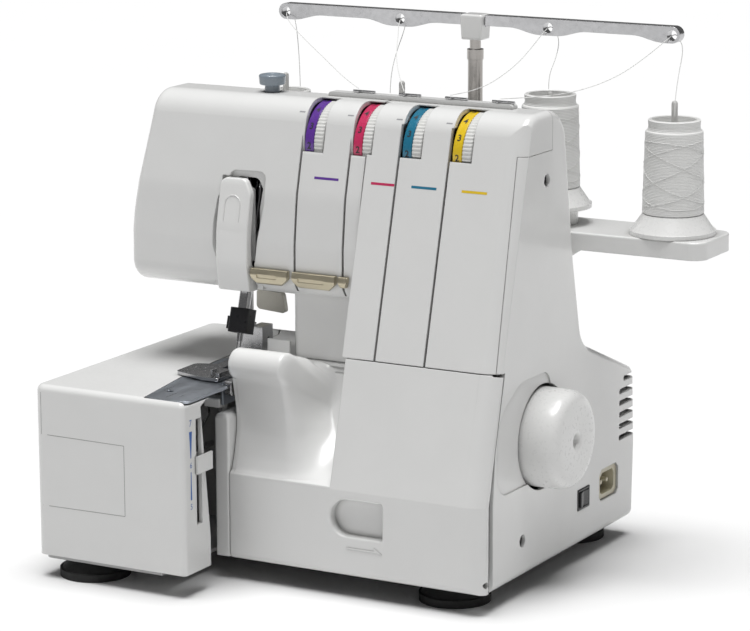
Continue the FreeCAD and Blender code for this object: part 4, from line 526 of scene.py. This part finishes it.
def shoulder():
    nx, nf = 84, 84
    fis = [math.radians(-17.9 + (53.0 + 17.9) * k / nf) for k in range(nf + 1)]
    left = [reach(-110.0, f) for f in fis]
    rite = [reach(-76.0, f) for f in fis]
    if any(v is None for v in left + rite):
        return None
    xs = [-138.1 + (-69.8 + 138.1) * i / nx for i in range(nx + 1)]
    vs, fs = [], []
    for i, x in enumerate(xs):
        for k, f in enumerate(fis):
            low = 1.0 - smooth((math.degrees(f) + 18.0) / 50.0)
            w = 1.0 - smooth((x + 105.5) / (16.0 + 17.0 * low))
            r = rite[k] + (left[k] - rite[k]) * w
            c = reach(x, f)
            if c is not None and x < -103.0:
                r = max(r, c)
            ed = min(1.0, k / 8.0, (nf - k) / 8.0, i / 6.0, (nx - i) / 3.0)
            r += 0.03 + 0.30 * smooth(ed)
            vs.append(F(x, PY - r * math.cos(f), PZ + r * math.sin(f)))
        # a short return back to the column's foot
        ye, ze = PY - r * math.cos(f), PZ + r * math.sin(f)
        zt = 133.15
        for q in (0.33, 0.66, 1.0):
            vs.append(F(x, ye + (17.3 - ye) * q, ze + (zt - ze) * q))
    row = nf + 4
    for i in range(nx):
        for k in range(row - 1):
            a = i * row + k
            fs.append((a, a + 1, a + row + 1, a + row))
    me = bpy.data.meshes.new("cover_shoulder")
    me.from_pydata([tuple(v) for v in vs], [], fs)
    me.update()
    bm = bmesh.new(); bm.from_mesh(me)
    # relax the inside of the sheet so the blend has no facets, keeping it on or above the cover
    inner = [v for v in bm.verts if not v.is_boundary]
    base = {v.index: v.co.copy() for v in bm.verts}
    for _ in range(6):
        bmesh.ops.smooth_vert(bm, verts=inner, factor=0.5, use_axis_x=True, use_axis_y=True, use_axis_z=True)
    pv = F(0, PY, PZ)
    for v in inner:
        if v.co.x < F(-101.0, 0, 0).x:
            b0 = base[v.index]
            r0 = math.hypot(b0.y - pv.y, b0.z - pv.z)
            r1 = math.hypot(v.co.y - pv.y, v.co.z - pv.z)
            if r1 < r0:
                k = r0 / r1
                v.co.y = pv.y + (v.co.y - pv.y) * k
                v.co.z = pv.z + (v.co.z - pv.z) * k
    bm.normal_update()
    geom = bmesh.ops.extrude_face_region(bm, geom=bm.faces[:])
    for v in [g for g in geom["geom"] if isinstance(g, bmesh.types.BMVert)]:
        d = Vector((0.0, pv.y - v.co.y, pv.z - v.co.z)).normalized()
        v.co += d * 0.0009
    bmesh.ops.recalc_face_normals(bm, faces=bm.faces[:])
    bm.to_mesh(me); bm.free()
    me.shade_smooth()
    me.set_sharp_from_angle(angle=math.radians(50))
    me.materials.append(WHITE)
    o = bpy.data.objects.new("cover_shoulder", me)
    bpy.context.scene.collection.objects.link(o)
    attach(o, "front")
    return o


if shoulder() is None:
    print("no shoulder")

# ------------------------------------------------------------------ prints and marks
HEAD = tree("head_cover")
bars = [(cn, xc - 8.5, xc + 8.5, 247.2) for cn, xc in zip(names, (-98.4, -58.2, -30.4, 3.6))]
for k, (cn, xa, xb, z) in enumerate(bars, 1):
    g = bar_grid(F(xa, -60, z), F(xb, -60, z), 1.5, 38, (0, 0, 1))
    decal("colour_bar_%d" % k, g, (0, 1, 0), HEAD, INK_C[cn])
for i, x0 in enumerate(dial_x, 1):
    g = bar_grid(F(x0 - 6.4, -60, 285.5), F(x0 - 2.4, -60, 285.5), 0.7, 3, (0, 0, 1))
    decal("index_mark_%d" % i, g, (0, 1, 0), HEAD, INK_G)
BED = tree("cloth_plate_cover")
xw = -141.0


def side_bar(name, y0, y1, z0, w0, z1, w1, mat):
    g = [[F(-120, y0 - w0 / 2, z0), F(-120, y0 + w0 / 2, z0)], [F(-120, y1 - w1 / 2, z1), F(-120, y1 + w1 / 2, z1)]]
    return decal(name, g, (-1, 0, 0), BED, mat, body="cloth_plate")


side_bar("width_mark_wide", -73.6, -73.6, 103.5, 3.2, 87.0, 0.8, INK_B)
side_bar("width_mark_narrow", -73.6, -73.6, 78.5, 0.7, 61.0, 1.6, INK_B)


def flat_digit(name, ch, y, z, h, mat, body, x=xw + 0.06):
    cu = bpy.data.curves.new(name, "FONT")
    cu.body = ch
    cu.size = h / 1000.0 / 0.72
    cu.align_x, cu.align_y = "CENTER", "CENTER"
    ob = bpy.data.objects.new(name + "_c", cu)
    bpy.context.scene.collection.objects.link(ob)
    dg = bpy.context.evaluated_depsgraph_get()
    me = bpy.data.meshes.new_from_object(ob.evaluated_get(dg))
    bpy.data.objects.remove(ob)
    for v in me.vertices:
        v.co = F(x, y + v.co.x * 1000, z + v.co.y * 1000)
    me.materials.clear(); me.materials.append(mat)
    o = bpy.data.objects.new(name, me)
    bpy.context.scene.collection.objects.link(o)
    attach(o, body)
    return o


flat_digit("width_seven", "7", -73.6, 108.5, 4.2, INK_B, "cloth_plate")
flat_digit("width_six", "6", -73.6, 82.4, 3.6, INK_B, "cloth_plate")
flat_digit("width_five", "5", -73.6, 56.7, 3.6, INK_B, "cloth_plate")
# faint moulding lines on the cloth plate's front, drawn as grey strips of painted shade where the seams' shade falls
def front_line(name, x0, z0, x1, z1, w=0.35):
    a, b = F(x0, -110, z0), F(x1, -110, z1)
    ac = (0, 0, 1) if abs(x1 - x0) > abs(z1 - z0) else (1, 0, 0)
    return decal(name, bar_grid(a, b, w, 10, ac), (0, 1, 0), BED, SHADOW, body="cloth_plate")


front_line("mould_shade_line_1", -244.5, 118, -244.5, 91.6)
front_line("mould_shade_line_2", -244.5, 91.6, -184, 91.2)
front_line("mould_shade_line_3", -184, 91.2, -184, 47.0)
front_line("mould_shade_line_4", -184, 47.0, -244.5, 46.4)
# front cover tree and a grid where the arrow sits; no arrow is drawn from them
FC = tree("front_cover")
g = [[F(-58, 0, 32.4), F(-41, 0, 32.4)], [F(-58, 0, 31.4), F(-41, 0, 31.4)]]

# raised arc on the take-up lever
LEV = tree("takeup_lever")
arc = []
for k in range(31):
    t = k / 30.0
    if t < 0.25:
        px, pz = -166.4, 217.5 + 10.0 * (t / 0.25)
    elif t > 0.75:
        px, pz = -155.4, 227.5 - 10.0 * ((t - 0.75) / 0.25)
    else:
        an = math.pi * (1 - (t - 0.25) / 0.5)
        px, pz = -160.9 + 5.5 * math.cos(an), 227.5 + 5.5 * math.sin(an)
    hit = LEV.ray_cast(F(px, -60, pz), Vector((0, 1, 0)))
    if hit[0] is not None:
        arc.append(hit[0])
if len(arc) > 20:
    ar = tube("lever_arc", arc, 0.00042, WHITE_HI, 10)
    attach(ar, "takeup")

# ------------------------------------------------------------------ stage and light
bm = bmesh.new()
bmesh.ops.create_grid(bm, x_segments=40, y_segments=40, size=30.0)
me = bpy.data.meshes.new("floor")
bm.to_mesh(me); bm.free()
floor = bpy.data.objects.new("floor", me)
bpy.context.scene.collection.objects.link(floor)
mt, nt, b = new_mat("floor_white")
f1 = noise(nt, 6.0, 3.0, 0.5)
nt.links.new(mixc(nt, f1, (0.755, 0.755, 0.755), (0.77, 0.77, 0.77)), b.inputs["Base Color"])
b.inputs["Roughness"].default_value = 0.9
b.inputs["Specular IOR Level"].default_value = 0.05
me.materials.append(mt)

world = bpy.data.worlds.new("studio")
world.use_nodes = True
world.node_tree.nodes["Background"].inputs["Color"].default_value = (1, 1, 1, 1)
world.node_tree.nodes["Background"].inputs["Strength"].default_value = 0.13
bpy.context.scene.world = world


def sun(name, direction, strength, angle):
    d = bpy.data.lights.new(name, "SUN")
    d.energy = strength
    d.angle = math.radians(angle)
    o = bpy.data.objects.new(name, d)
    o.rotation_euler = Vector(direction).normalized().to_track_quat("-Z", "Y").to_euler()
    bpy.context.scene.collection.objects.link(o)
    return o


def area(name, pos, target, size, power):
    d = bpy.data.lights.new(name, "AREA")
    d.shape = "RECTANGLE"
    d.size, d.size_y = size
    d.energy = power
    o = bpy.data.objects.new(name, d)
    o.location = pos
    o.rotation_euler = (Vector(target) - Vector(pos)).normalized().to_track_quat("-Z", "Y").to_euler()
    bpy.context.scene.collection.objects.link(o)
    return o


sun("overhead", (0.0, 0.07, -1.0), 3.8, 40)
bpy.context.scene.view_settings.view_transform = "Standard"
bpy.context.scene.view_settings.look = "None"
